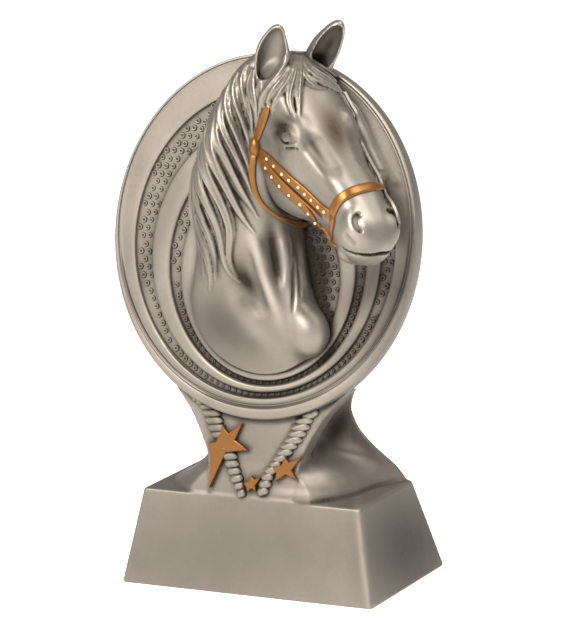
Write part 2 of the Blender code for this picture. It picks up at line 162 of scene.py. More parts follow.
LAY_JUMP = 7.0  # a hit that much nearer or farther than the last one is on another form
LAY_START = VIEW_DISTANCE - 20.0  # how far away to look first for a path that starts beside the skin


def lay(skin, path, spacing=4.0, rounds=3):
    """Points and normals where a path drawn over the picture lies on a skin."""
    points, last = [], None
    for x, y in flowing(path, spacing):
        d = sight(x, y)
        hit = skin.ray_cast(Vector(EYE), Vector(d))[0]
        if hit is None or (last is not None and abs((np.array(hit) - EYE) @ AHEAD - last) > LAY_JUMP):
            depth = last if last is not None else LAY_START
            q = EYE + d * depth / (d @ AHEAD)
            for _ in range(3):
                near = np.array(skin.find_nearest(Vector(q))[0])
                q = EYE + d * ((near - EYE) @ AHEAD) / (d @ AHEAD)
            hit = 0.5 * (q + near)
        last = (np.array(hit) - EYE) @ AHEAD
        points.append(np.array(hit))
    points = soften(points, rounds)
    normals = np.array([skin.find_nearest(Vector(p))[1] for p in points])
    normals = soften(normals, 2)
    normals /= np.linalg.norm(normals, axis=1)[:, None]
    return points, normals


# ------------------------------------------------------------------ clay


def largest_part(count, quads):
    """The faces of the biggest connected body."""
    a, b = quads.ravel().astype(np.int64), np.roll(quads, 1, axis=1).ravel().astype(np.int64)
    label = np.arange(count)
    while True:
        low = np.minimum(label[a], label[b])
        new = label.copy()
        np.minimum.at(new, a, low)
        np.minimum.at(new, b, low)
        new = new[new]
        if (new == label).all():
            break
        label = new
    faces = label[quads[:, 0]]
    return quads[faces == np.bincount(faces).argmax()]


def relaxed(points, quads, rounds):
    """Points eased in and out again by turns, which takes off steps and keeps the form."""
    a = quads.ravel().astype(np.int64)
    b = np.roll(quads, 1, axis=1).ravel().astype(np.int64)
    count = (np.bincount(a, minlength=len(points)) + np.bincount(b, minlength=len(points)))[:, None] + 1e-9
    for k in range(2 * rounds):
        mean = np.stack(
            [
                np.bincount(a, points[b, i], len(points)) + np.bincount(b, points[a, i], len(points))
                for i in range(3)
            ],
            1,
        )
        points = points + (0.62, -0.60)[k % 2] * (mean / count - points)
    return points


def smooth_most(a, b, blend):
    """The greater of two distances, rounded where they meet."""
    h = np.maximum(blend - np.abs(a - b), 0.0) / blend
    return np.maximum(a, b) + h * h * (blend * 0.25)


class Clay:
    """A block of distances to a surface, below zero inside it, modelled like wax."""

    def __init__(self, place, low, high, step):
        self.place, self.step = place, step
        self.low = np.array(low, float)
        self.count = np.ceil((np.array(high) - self.low) / step).astype(int) + 1
        self.field = np.full(self.count, FAR, np.float32)

    def window(self, low, high):
        """The part of the block between two corners, with its coordinates ready to combine."""
        first = np.clip(np.floor((np.array(low) - self.low) / self.step).astype(int), 0, self.count)
        last = np.clip(np.ceil((np.array(high) - self.low) / self.step).astype(int) + 1, 0, self.count)
        last = np.maximum(first, last)
        part = tuple(slice(a, b) for a, b in zip(first, last))
        lines = [(self.low[i] + self.step * np.arange(first[i], last[i])).astype(np.float32) for i in range(3)]
        return part, lines[0][:, None, None], lines[1][None, :, None], lines[2][None, None, :]

    def whole(self):
        return self.window(self.low, self.low + self.step * self.count)

    def join(self, part, d, blend, cut=False):
        """Adds a form to the block or cuts it out, rounded where they meet."""
        f = self.field[part]
        self.field[part] = smooth_most(f, -d, blend) if cut else -smooth_most(-f, -d, blend)

    def ball(self, centre, radii, blend, cut=False):
        """An egg with a half length along each of the clay's axes."""
        centre, radii = np.array(centre, float), np.array(radii, float)
        reach = radii.max() + 2.0 * blend + 2.0 * self.step
        part, *lines = self.window(centre - reach, centre + reach)
        p = [line - c for line, c in zip(lines, centre)]
        k0 = np.sqrt(sum((q / r) ** 2 for q, r in zip(p, radii)))
        k1 = np.sqrt(sum((q / r**2) ** 2 for q, r in zip(p, radii))) + 1e-6
        self.join(part, (k0 * (k0 - 1.0) / k1).astype(np.float32), blend, cut)

    def strand(self, points, radii, blend, cut=False):
        """A round strand along points, with a radius at each."""
        points = np.array(points, float)
        radii = np.ones(len(points)) * radii
        reach = radii.max() + 1.5 * blend + 2.0 * self.step
        part = self.window(points.min(0) - reach, points.max(0) + reach)[0]
        shape = self.field[part].shape
        if 0 in shape:
            return
        d = np.full(shape, FAR, np.float32)
        start = [s.start for s in part]
        for p, q, a, b in zip(points[:-1], points[1:], radii[:-1], radii[1:]):
            sub, u, v, w = self.window(np.minimum(p, q) - reach, np.maximum(p, q) + reach)
            sub = tuple(slice(s.start - o, s.stop - o) for s, o in zip(sub, start))
            if 0 in d[sub].shape:
                continue
            e = q - p
            k = max(e @ e, 1e-9)
            u, v, w = u - p[0], v - p[1], w - p[2]
            h = np.clip((u * e[0] + v * e[1] + w * e[2]) / k, 0.0, 1.0)
            r = np.sqrt((u - e[0] * h) ** 2 + (v - e[1] * h) ** 2 + (w - e[2] * h) ** 2)
            d[sub] = np.minimum(d[sub], (r - (a + (b - a) * h)).astype(np.float32))
        self.join(part, d, blend, cut)

    def true(self):
        """Scales the values so that they are lengths near the surface."""
        g = np.gradient(self.field, self.step)
        slope = np.sqrt(g[0] ** 2 + g[1] ** 2 + g[2] ** 2)
        self.field = (self.field / np.clip(slope, 0.4, 3.0)).astype(np.float32)

    def above(self, height):
        """How far each place lies above a height over the dish's front."""
        _, x, y, z = self.whole()
        o = (self.place.origin - DISH.origin) @ DISH_N - height
        k = self.place.axes @ DISH_N
        return (o + x * k[0] + y * k[1] + z * k[2]).astype(np.float32)

    def trim(self, height):
        """Cuts off what lies lower over the dish's front."""
        self.field = np.maximum(self.field, -self.above(height))

    def surface(self, rounds=1):
        """The block's surface in space: points and faces of its biggest body."""
        f = self.field.copy()
        for k in range(3):
            for end in (0, -1):
                at = [slice(None)] * 3
                at[k] = end
                f[tuple(at)] = np.maximum(f[tuple(at)], 0.4 * self.step)
        grid = openvdb.FloatGrid(FAR)
        grid.copyFromArray(f)
        points, _, quads = grid.convertToPolygons(0.0, 0.0)
        quads = largest_part(len(points), quads)
        used = np.unique(quads)
        again = np.zeros(len(points), int)
        again[used] = np.arange(len(used))
        points, quads = points[used].astype(float), again[quads]
        points = self.place.out(self.low + self.step * relaxed(points, quads, rounds))
        return points, quads.tolist()

    def skin(self):
        """The surface so far, to lay paths on."""
        points, faces = self.surface()
        return BVHTree.FromPolygons(points.tolist(), faces)


def smooth_line(x, stations, values, blur, step=0.1):
    """Values at x along stations, with the corners rounded over a length."""
    fine = np.arange(stations[0] - 3 * blur, stations[-1] + 3 * blur, step)
    v = np.interp(fine, stations, values)
    n = max(1, int(3 * blur / step))
    k = np.exp(-0.5 * (np.arange(-n, n + 1) * step / blur) ** 2)
    v = np.convolve(np.pad(v, n, mode="edge"), k / k.sum(), mode="valid")
    return np.interp(x, fine, v)


# ------------------------------------------------------------------ mesh


def rows_joined(rows, count, first=0, flip=False):
    """Quads between rows of as many points each, closed round."""
    faces = []
    for i in range(rows - 1):
        a, b = first + i * count, first + (i + 1) * count
        for j in range(count):
            k = (j + 1) % count
            faces.append((a + j, b + j, b + k, a + k) if flip else (a + j, a + k, b + k, b + j))
    return faces


def tube(rows, count, first=0, flip=False):
    """The same with a flat face over each end."""
    start = tuple(range(first, first + count))
    end = tuple(range(first + (rows - 1) * count, first + rows * count))
    caps = [start, end[::-1]] if flip else [end, start[::-1]]
    return rows_joined(rows, count, first, flip) + caps


def fan(start, count, centre, flip):
    """Triangles from a row of points to one in the middle."""
    pairs = [(start + j, start + (j + 1) % count) for j in range(count)]
    return [(b, a, centre) if flip else (a, b, centre) for a, b in pairs]


def thinned(ob, most):
    """Fewer triangles where the surface is even."""
    ob.data.calc_loop_triangles()
    count = len(ob.data.loop_triangles)
    if count <= most:
        return ob
    modifier = ob.modifiers.new("thin", "DECIMATE")
    modifier.ratio = most / count
    made = ob.evaluated_get(bpy.context.evaluated_depsgraph_get())
    mesh = bpy.data.meshes.new_from_object(made)
    ob.modifiers.clear()
    old, ob.data = ob.data, mesh
    bpy.data.meshes.remove(old)
    mesh.name = ob.name
    smoothed(mesh)
    return ob


def smoothed(mesh):
    mesh.polygons.foreach_set("use_smooth", [True] * len(mesh.polygons))


def linked(ob):
    bpy.context.scene.collection.objects.link(ob)
    return ob


def piece(name, points, faces, finish, smooth=True):
    """A finished piece, given in millimetres."""
    mesh = bpy.data.meshes.new(name)
    mesh.from_pydata((np.asarray(points) * MM).tolist(), [], faces)
    mesh.validate()
    mesh.update()
    if smooth:
        smoothed(mesh)
    mesh.materials.append(finish)
    return linked(bpy.data.objects.new(name, mesh))


def belongs(ob):
    """Every piece is a part of the one casting."""
    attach(ob, "root")
    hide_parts("trophy_casting")


# ------------------------------------------------------------------ horse head

# Cross-sections of the head from the poll to the lips: how far along, where the
# middle lies towards the brow, and half breadths from the brow (0 degrees) round
# the near side to the throat (180 degrees).
SECTION_ANGLES = (0, 23, 40, 50, 61, 74, 90, 106, 124, 142, 160, 180)
HEAD_SECTIONS = (
    (-6.0, -9.0, (7.5, 7.8, 8.2, 8.5, 8.6, 8.6, 8.6, 8.6, 8.8, 9.0, 9.0, 9.0)),
    (0.0, -9.0, (9.2, 9.8, 10.6, 10.8, 10.4, 9.9, 9.5, 9.4, 9.8, 10.2, 10.6, 11.0)),
    (7.0, -9.8, (10.5, 11.4, 12.4, 12.6, 11.6, 10.6, 10.0, 9.9, 10.2, 11.0, 12.4, 13.5)),
    (12.0, -10.4, (11.4, 12.4, 13.6, 13.8, 12.4, 10.9, 10.1, 9.9, 10.6, 12.0, 13.6, 14.8)),
    (18.0, -10.8, (12.6, 13.5, 14.7, 14.4, 12.4, 10.9, 10.1, 9.9, 10.8, 12.4, 14.2, 15.2)),
    (24.0, -10.5, (12.7, 13.6, 14.4, 12.7, 10.9, 10.5, 9.9, 9.9, 11.0, 12.8, 14.6, 15.4)),
    (29.0, -8.8, (11.8, 12.7, 13.0, 11.2, 9.6, 9.5, 9.4, 9.6, 10.8, 12.6, 14.2, 15.0)),
    (33.0, -6.8, (10.8, 11.6, 11.5, 9.9, 8.5, 8.2, 8.2, 8.5, 9.6, 11.4, 12.8, 13.6)),
    (37.0, -4.2, (8.9, 9.6, 9.9, 9.2, 8.2, 7.6, 7.3, 7.4, 8.0, 9.2, 10.4, 11.0)),
    (41.0, -2.8, (7.9, 8.5, 8.9, 8.7, 8.0, 7.4, 7.2, 7.1, 7.1, 7.4, 7.9, 8.2)),
    (45.0, -2.2, (7.3, 7.8, 8.3, 8.5, 8.3, 7.8, 7.3, 7.0, 6.7, 6.5, 6.5, 6.5)),
    (49.0, -2.2, (7.2, 7.7, 8.3, 8.6, 8.5, 8.0, 7.5, 7.1, 6.7, 6.2, 5.9, 5.8)),
    (52.0, -2.2, (7.2, 7.7, 8.3, 8.6, 8.5, 8.0, 7.5, 7.1, 6.6, 6.0, 5.6, 5.5)),
    (56.0, -2.2, (7.1, 7.6, 8.2, 8.4, 8.4, 7.9, 7.4, 7.0, 6.4, 5.8, 5.4, 5.2)),
)
MUZZLE_END = 55.0
MUZZLE_ROUND = 9.0
POLL_END = -4.9
POLL_ROUND = 8.0
HEAD_STEP = 0.27
CENTRE_BLUR = 1.2
SECTION_BLUR = 2.0
ANGLE_STEP = 3.0
ANGLE_BLUR = 9.0


def rounding(past, radius):
    """How a section shrinks towards an end, by how far it is past where the rounding starts."""
    return np.sqrt(np.clip(1 - (np.clip(past, 0, None) / radius) ** 2, 0.002, 1))


def head_form():
    """The bare head, laid out from its cross-sections."""
    clay = Clay(HEAD, (-15.0, -31.0, -24.0), (58.0, 14.0, 16.0), HEAD_STEP)
    _, a, b, s = clay.whole()
    along = a.ravel()
    stations = [row[0] for row in HEAD_SECTIONS]
    centre = smooth_line(along, stations, [row[1] for row in HEAD_SECTIONS], CENTRE_BLUR)
    angles = np.arange(0.0, 180.0 + 0.5 * ANGLE_STEP, ANGLE_STEP)
    table = np.array([np.interp(angles, SECTION_ANGLES, row[2]) for row in HEAD_SECTIONS])
    table = np.array([smooth_line(along, stations, column, SECTION_BLUR) for column in table.T]).T
    blur = np.exp(-0.5 * (np.arange(-4, 5) * ANGLE_STEP / ANGLE_BLUR) ** 2)
    blur /= blur.sum()
    padded = np.pad(table, ((0, 0), (4, 4)), mode="reflect")
    table = sum(w * padded[:, k : k + len(angles)] for k, w in enumerate(blur))
    end = rounding(along - (MUZZLE_END - MUZZLE_ROUND), MUZZLE_ROUND)
    start = rounding(POLL_END + POLL_ROUND - along, POLL_ROUND)
    table = (table * (end * start)[:, None]).astype(np.float32)
    y = b - centre[:, None, None].astype(np.float32)
    r = np.sqrt(y**2 + s**2)
    turn = np.degrees(np.arctan2(np.abs(s), y)) / ANGLE_STEP
    low = np.clip(turn.astype(np.int32), 0, len(angles) - 2)
    frac = (turn - low).astype(np.float32)
    row = np.arange(len(along))[:, None, None]
    radius = table[row, low] * (1 - frac) + table[row, low + 1] * frac
    field = np.maximum(np.maximum(r - radius, a - MUZZLE_END), POLL_END - a)
    clay.field = np.clip(field, -FAR, FAR).astype(np.float32)
    clay.true()
    return clay


def inside(place, points, normals, lift):
    """Points lifted off a skin, in the axes of a place."""
    return place.into(points + normals * np.asarray(lift).reshape(-1, 1))


NEAR_EAR = (
    # outline left and right in the picture, opening left and right, from root to tip
    ((257.0, 94.0), (268.0, 93.0), None, None),
    ((255.0, 82.0), (277.0, 86.0), (262.3, 87.0), (264.3, 86.5)),
    ((254.6, 72.0), (283.0, 77.0), (259.8, 78.5), (270.5, 80.5)),
    ((254.6, 62.0), (287.5, 67.0), (259.4, 68.0), (276.8, 71.0)),
    ((255.2, 54.0), (289.5, 56.0), (260.2, 57.5), (281.6, 59.5)),
    ((258.6, 45.5), (288.2, 48.0), (262.8, 48.5), (283.6, 50.5)),
    ((263.8, 37.5), (286.0, 40.0), (267.6, 39.5), (282.6, 41.5)),
    ((269.0, 31.0), (284.6, 33.6), (272.4, 33.6), (281.2, 35.0)),
    ((273.6, 27.8), (282.4, 29.2), (276.4, 30.6), (279.4, 31.0)),
)
FAR_EAR = (
    ((304.0, 62.0), (331.0, 76.0), None, None),
    ((304.0, 56.5), (333.0, 68.0), (310.0, 65.0), (322.0, 70.0)),
    ((306.5, 50.5), (336.5, 59.0), (311.5, 57.0), (330.0, 63.0)),
    ((311.5, 43.0), (340.5, 50.5), (316.0, 48.0), (335.5, 53.5)),
    ((318.0, 36.0), (343.0, 42.5), (321.5, 40.0), (339.2, 44.5)),
    ((324.6, 30.0), (344.6, 34.5), (327.5, 33.5), (341.4, 36.5)),
    ((330.8, 25.0), (344.4, 28.4), (333.0, 28.4), (341.6, 31.0)),
    ((335.4, 22.6), (342.4, 24.2), (336.4, 26.0), (340.4, 27.2)),
)


def ear(clay, rows, depth, lean, backed):
    """A leaf-shaped cup drawn by its outline and its opening.

    Its root lies depth towards the near side and its tip lean more. Backed says how far
    the hollow's middle stands in front of the ear's, in half widths.
    """
    n = len(rows)
    deep = depth + lean * np.linspace(0, 1, n)

    def across(pairs, deep):
        """Middle in space and half width of places left and right in the picture."""
        pairs = np.array(pairs)
        middle = np.array([seen_at(x, y, HEAD, 2, d) for (x, y), d in zip(pairs.mean(1), deep)])
        half = np.linalg.norm(pairs[:, 0] - pairs[:, 1], axis=1) / 2
        return middle, half * ((middle - EYE) @ AHEAD) / FOCAL

    middle, radii = across([row[:2] for row in rows], deep)
    back = flowing(np.column_stack((HEAD.into(middle + AHEAD * (radii * 0.15)[:, None]), radii)), 0.5)
    clay.strand(back[:, :3], back[:, 3], 0.9)
    middle, radii = across([row[2:] for row in rows[1:]], deep[1:])
    hollow = flowing(np.column_stack((HEAD.into(middle - AHEAD * (radii * backed)[:, None]), radii)), 0.5)
    clay.strand(hollow[:, :3], hollow[:, 3] * math.sqrt(1 + backed**2), 0.5, cut=True)


def head_features(clay):
    """The sockets, cheek bones and nostrils on both sides, and the chin."""
    for side in (1.0, -1.0):
        m = np.array((1.0, 1.0, side))
        # the socket, with the hollow over it
        clay.ball(np.array((13.4, -6.4, 13.8)) * m, (6.4, 4.8, 3.4), 5.0, cut=True)
        # cheek bone
        clay.ball(np.array((22.5, -5.6, 7.4)) * m, (5.5, 1.8, 2.2), 3.0)
        # wing of the nostril
        clay.ball(np.array((47.4, 2.0, 5.3)) * m, (3.2, 2.6, 1.75), 2.6)
    # lower lip and chin
    clay.ball((49.2, -5.7, 0.0), (3.8, 3.2, 6.0), 0.8)
    clay.ball((44.8, -7.6, 0.0), (4.5, 2.8, 4.6), 2.0)


def relief_line(clay, skin, path, radius, lift, blend, cut=False, mirror=True, spacing=3.0, ends=3.0):
    """A ridge or groove along a path of the picture, sinking away at its ends."""
    points, normals = lay(skin, path, spacing)
    t = np.linspace(0, 1, len(points))
    fade = np.clip(np.minimum(t, 1 - t) * ends, 0.0, 1.0)
    fade = fade * fade * (3 - 2 * fade)
    width = radius * (0.35 + 0.65 * fade)
    away = width + blend * (1 - fade)
    lifts = away - lift * fade if cut else lift * fade - away
    p = inside(clay.place, points, normals, lifts)
    clay.strand(p, width, blend, cut=cut)
    if mirror:
        clay.strand(p * (1, 1, -1), width, blend, cut=cut)


def on_skin(clay, skin, x, y):
    """Where a place of the picture lies on a skin, and its facing, in the clay's axes."""
    points, normals = lay(skin, [(x - 0.5, y), (x + 0.5, y)], 0.5, rounds=0)
    return clay.place.into(points[1]), clay.place.axes @ normals[1]


EYE_AT = (286.5, 135.5)
EYE_SUNK = 1.15
EYE_RADII = (2.4, 2.2, 2.1)
EYE_LINES = (
    # path in the picture, radius, height or depth, blend, whether it is cut: lids, folds and brow
    (((281.5, 128.5), (285, 126.9), (288.5, 129.0), (291.6, 132.4), (294.8, 136.8),
        (298, 141)), 0.28, 0.55, 0.12, False),
    (((280.6, 134.5), (283, 131.2), (286.5, 130.8), (289.8, 133.6), (292.8, 138)), 0.3, 0.5, 0.12, True),
    (((278.4, 135.5), (281, 140.3), (284.8, 142.7), (289.2, 143.1), (293.4, 142.0),
        (299.5, 143.8)), 0.3, 0.62, 0.12, True),
    (((280.4, 143.8), (285, 145.5), (290, 145.9), (294.5, 145.0), (301, 147.4)), 0.28, 0.45, 0.12, False),
    (((281.5, 147.0), (286.5, 148.3), (291, 148.5), (295, 147.8), (301, 150.4)), 0.28, 0.35, 0.2, True),
    (((298, 118), (299.4, 128), (302.5, 135), (307, 142)), 1.8, 0.35, 2.4, False),
)


def eyes(clay, skin):
    at, facing = on_skin(clay, skin, *EYE_AT)
    for side in (1.0, -1.0):
        clay.ball((at - facing * EYE_SUNK) * (1.0, 1.0, side), EYE_RADII, 0.2)
    skin = clay.skin()
    for path, radius, lift, blend, cut in EYE_LINES:
        relief_line(clay, skin, path, radius, lift, blend, cut=cut, spacing=1.2, ends=4.0)


LOCK_SPACING = 4.0
LOCK_BLEND = 0.22
LOCK_BODY = 0.8 / 3.914  # radius of a lock's body, in its half widths in pixels


def arched(u):
    """How a lock's height runs along it, from its root at 0 to its tip at 1."""
    return np.sin(np.pi * np.clip(u * 0.85 + 0.1, 0, 1))


def hair_lock(clay, skin, path, half, radius, lift, count):
    """A lock with a full body and strands side by side over it that meet at its tip."""
    line = flowing(path, LOCK_SPACING)
    tangent = np.gradient(line, axis=0)
    tangent /= np.linalg.norm(tangent, axis=1)[:, None]
    across = np.stack((-tangent[:, 1], tangent[:, 0]), 1)
    t = np.linspace(0, 1, len(line))
    width = half * np.clip(0.45 + 2.2 * t, 0, 1) * (1 - t**2.5 * 0.93)
    points, normals = lay(skin, line, LOCK_SPACING * 2.0, rounds=2)
    u = np.linspace(0, 1, len(points))
    full = np.interp(u, t, width) * LOCK_BODY
    clay.strand(inside(clay.place, points, normals, lift * arched(u) - 0.85 * full), full, 0.6)
    middle = (count - 1) / 2
    for k in range(count):
        c = (k - middle) / middle
        wave = 1.0 + 0.18 * np.sin(5.0 * t + 2.1 * k)
        strand = line + across * (c * width * wave)[:, None]
        points, normals = lay(skin, strand, LOCK_SPACING * 2.0, rounds=2)
        u = np.linspace(0, 1, len(points))
        thick = radius * (0.82 + 0.3 * math.sin(1.9 * k + 0.11 * path[0][1]))
        thick = thick * np.clip(0.6 + 2.0 * u, 0, 1) * (1 - 0.62 * u**3)
        swell = 1.0 + 0.35 * math.sin(2.7 * k + 0.05 * path[0][0])
        up = lift * swell * arched(u) * (1 - 0.45 * c * c) - 0.30 * radius
        clay.strand(inside(clay.place, points, normals, up), thick, LOCK_BLEND)


FORELOCK_WIDER = 1.15
FORELOCK = (
    # path in the picture, half width, strands, lift
    (((289, 53), (284, 66), (274, 82), (265, 92), (261, 101), (264, 110), (268, 113)), 3.0, 5, 0.7),
    (((292, 55), (287, 70), (278, 86), (269, 96), (266, 104), (270, 111), (274, 110)), 3.4, 5, 0.9),
    (((295, 56), (291, 72), (285, 88), (277, 98), (272, 106), (272, 114)), 3.4, 5, 1.0),
    (((297, 57), (294, 75), (290, 90), (288, 102), (293, 113), (298, 122)), 3.2, 5, 1.1),
    (((300, 58), (299, 76), (297, 92), (298, 106), (300, 118), (299, 124)), 2.6, 5, 1.2),
    (((301, 58), (304, 70), (314, 80), (326, 84), (337, 87), (343, 91)), 3.2, 5, 0.9),
    (((302, 56), (307, 66), (318, 75), (330, 80), (340, 84), (346, 90)), 3.0, 5, 0.8),
    (((303, 54), (312, 64), (324, 71), (334, 74), (342, 79)), 2.8, 5, 0.7),
    (((300, 62), (302, 76), (309, 86), (318, 89), (326, 89)), 2.4, 4, 0.8),
    (((260, 82), (258.5, 93), (258.5, 104), (257.5, 116), (256, 128)), 2.8, 5, 0.6),
    (((270, 86), (264, 94), (260, 104), (261, 112)), 2.6, 5, 0.7),
)


WALL_INSET = 0.7  # the wall starts that far inside the head's outline
WALL_BEGIN, WALL_END = 3.0, 33.0  # along the head
WALL_SIDE = 4.0
WALL_TAPER = 0.16
WALL_FILLET, WALL_FILLET_REACH = 2.2, 1.3
WALL_RIM = (38.5, 43.0)  # the wall stays inside this oval of the dish


def far_wall(clay):
    """The wall that joins the head's far side to the dish, swept back from its outline."""
    toward = clay.place.axes @ DISH_N
    p, q = toward[:2] / toward[2]
    part, a, b, s = clay.whole()
    swept = np.maximum(np.maximum(clay.field, a - WALL_END), WALL_BEGIN - a) + WALL_INSET
    swept = np.maximum(swept, s - WALL_SIDE)
    for k in range(clay.count[2] - 2, -1, -1):
        last = np.pad(swept[:, :, k + 1], ((0, 1), (0, 1)), mode="edge")
        moved = (
            last[:-1, :-1] * (1 - p) * (1 - q)
            + last[1:, :-1] * p * (1 - q)
            + last[:-1, 1:] * (1 - p) * q
            + last[1:, 1:] * p * q
        )
        swept[:, :, k] = np.minimum(swept[:, :, k], moved + WALL_TAPER * clay.step / toward[2])
    height = clay.above(0.0)
    axes, origin = clay.place.axes, clay.place.origin - DISH.origin
    u, v = (origin @ w + a * (axes[0] @ w) + b * (axes[1] @ w) + s * (axes[2] @ w) for w in DISH.axes[:2])
    rim = (np.sqrt((u / WALL_RIM[0]) ** 2 + (v / WALL_RIM[1]) ** 2) - 1.0) * 38.0
    swept = swept - WALL_FILLET * np.exp(-np.clip(height, -1.0, 9.0) / WALL_FILLET_REACH)
    swept = np.maximum(swept, rim)
    clay.join(part, swept.astype(np.float32), 0.5)


NOSTRIL = (
    (361.5, 216.0), (359, 214.6), (356.4, 215.6), (354.9, 218.6), (354.8, 222.5), (356.2, 226.5),
        (358.6, 229.5), (361.4, 231.6), (363, 232.2),
)
FAR_EDGE = (
    # outline of the far brow and cheek: picture x, y and how far it lies towards the near side
    (345.0, 93, -10.4), (351.0, 104, -10.8), (357.0, 115, -11.0), (355.6, 127, -11.0), (360.6, 141, -10.2),
        (369.8, 160, -9.2),
    (379.0, 177, -8.4), (385.0, 193, -7.4), (392.0, 203, -6.9), (396.5, 213, -6.8), (398.6, 222, -6.8),
)


MOUTH = ((339, 245), (344, 249.5), (351, 253), (362, 255), (375, 255), (386, 252))
NOSTRIL_WING = ((363, 211), (357, 209.5), (350.5, 214), (349, 224), (352, 232), (359, 238))
FACE_VALLEY = ((309, 128), (313, 142), (320, 153), (328, 165), (337, 181))
LIP_CREASE = ((343, 232), (347, 238), (352, 243), (358, 246.5))
FAR_BROW = ((350, 108), (346, 114), (345, 122))
HEAD_BACK = -1.4  # head and neck reach that far into the dish


def horse_head():
    clay = head_form()
    head_features(clay)
    ear(clay, NEAR_EAR, 6.4, 0.4, 0.85)
    ear(clay, FAR_EAR, -8.2, -1.2, 0.5)
    # the poll between the ears
    clay.ball((1.2, -5.2, 0.0), (5.4, 4.6, 8.0), 2.5)
    far_wall(clay)
    skin = clay.skin()
    relief_line(clay, skin, MOUTH, 0.45, 0.65, 0.25, cut=True, ends=9.0)
    relief_line(clay, skin, NOSTRIL_WING, 1.2, 0.25, 1.6)
    skin = clay.skin()
    relief_line(clay, skin, NOSTRIL, 0.75, 0.85, 0.25, cut=True, spacing=1.2, ends=8.0)
    eyes(clay, skin)
    relief_line(clay, skin, FACE_VALLEY, 2.4, 0.4, 2.8, cut=True)
    edge = [HEAD.into(seen_at(x, y, HEAD, 2, near)) for x, y, near in flowing(FAR_EDGE, 2.0)]
    clay.strand(edge, 0.5, 0.5)
    relief_line(clay, skin, LIP_CREASE, 0.9, 0.4, 0.8, cut=True)
    relief_line(clay, skin, FAR_BROW, 1.3, 0.5, 1.2, mirror=False)
    for path, half, count, lift in FORELOCK:
        hair_lock(clay, skin, path, half * FORELOCK_WIDER, 0.46, lift, count)
    clay.trim(HEAD_BACK)
    return clay


# ------------------------------------------------------------------ neck and mane

NECK_ROWS = (
    # height up the dish, left edge, right edge, how far it stands out
    (-37.0, -12.0, 12.0, -1.2),
    (-34.4, -13.0, 13.4, 0.8),
    (-32.0, -14.0, 14.8, 2.4),
    (-30.0, -15.0, 16.2, 3.7),
    (-27.0, -16.0, 18.2, 5.4),
    (-24.0, -17.2, 19.0, 6.9),
    (-21.0, -18.0, 19.0, 8.1),
    (-18.0, -18.4, 17.4, 9.1),
    (-15.0, -18.4, 15.4, 9.9),
    (-11.0, -17.8, 13.8, 10.9),
    (-4.0, -16.6, 11.9, 12.5),
    (4.0, -15.0, 10.2, 14.0),
    (12.0, -13.0, 10.6, 15.0),
    (20.0, -11.0, 12.4, 15.4),
    (30.0, -6.0, 14.0, 15.4),
    (38.0, 0.0, 14.5, 13.0),
    (44.0, 4.0, 13.0, 9.0),
)

MANE_BULK = (
    # picture x, y, height over the dish, radius
    ((262.0, 66.0), 10.0, 3.6),
    ((252.0, 79.0), 10.5, 4.6),
    ((244.0, 96.0), 10.5, 5.4),
    ((237.0, 116.0), 10.0, 6.2),
    ((231.0, 138.0), 9.6, 7.0),
    ((226.0, 160.0), 9.2, 7.5),
    ((222.5, 185.0), 8.6, 7.4),
    ((222.0, 210.0), 8.0, 7.2),
    ((222.0, 232.0), 7.0, 6.6),
    ((222.5, 252.0), 5.4, 5.6),
    ((220.0, 268.0), 3.6, 3.8),
    ((216.0, 280.0), 2.2, 2.2),
)

MANE = (
    # path in the picture, half width, strands, lift
    (((194, 186), (193.5, 206), (195, 226), (199, 244), (202, 260), (203.5, 276)), 3.4, 5, 0.3),
    (((197, 172), (193.5, 192), (194, 212), (198, 230), (204, 246), (209, 262), (212, 276),
        (209.5, 290)), 4.2, 6, 0.7),
    (((200, 156), (195.5, 176), (196, 196), (201, 214), (209, 231), (214, 248), (216, 264),
        (215, 279)), 5.0, 6, 0.9),
    (((205, 140), (200, 160), (200, 180), (206, 198), (215, 216), (220.5, 232), (223, 248), (224, 262),
        (228, 273), (235, 279), (240, 282)), 5.2, 6, 1.1),
    (((211, 123), (205, 146), (205, 165), (212, 183), (221, 200), (228, 216), (232, 230), (230, 244),
        (228, 256), (231, 267), (237, 277)), 5.6, 6, 1.2),
    (((216, 110), (210.5, 134), (211, 152), (218, 169), (227, 186), (235, 202), (242, 216), (249, 226),
        (254, 232)), 5.6, 6, 1.3),
    (((221, 99), (215.5, 122), (216, 139), (223, 155), (232, 171), (240, 187), (248, 201), (255, 211),
        (257.5, 217)), 5.4, 6, 1.2),
    (((226, 90), (221, 110), (222, 126), (229, 142), (237, 157), (244, 172), (249, 184),
        (252, 194)), 5.0, 6, 1.0),
    (((232, 81), (227.5, 97), (229, 114), (235, 130), (242, 146), (247, 160), (250, 172)), 4.6, 6, 0.9),
    (((239, 73), (235, 87), (236.5, 103), (242, 118), (247, 132), (249.5, 146)), 4.4, 6, 0.9),
    (((247, 65), (242.5, 79), (244, 95), (249, 110), (252, 122), (252, 133)), 4.2, 6, 0.9),
    (((253, 70), (250.5, 80), (252, 92), (255.5, 103), (256.5, 116)), 3.2, 5, 0.8),
    (((196, 200), (198, 220), (203, 240), (207, 256), (207, 272)), 3.6, 5, 0.5),
    (((228, 225), (226, 238), (224, 250)), 3.6, 5, 0.2),
)

MANE_WIDER = 1.08

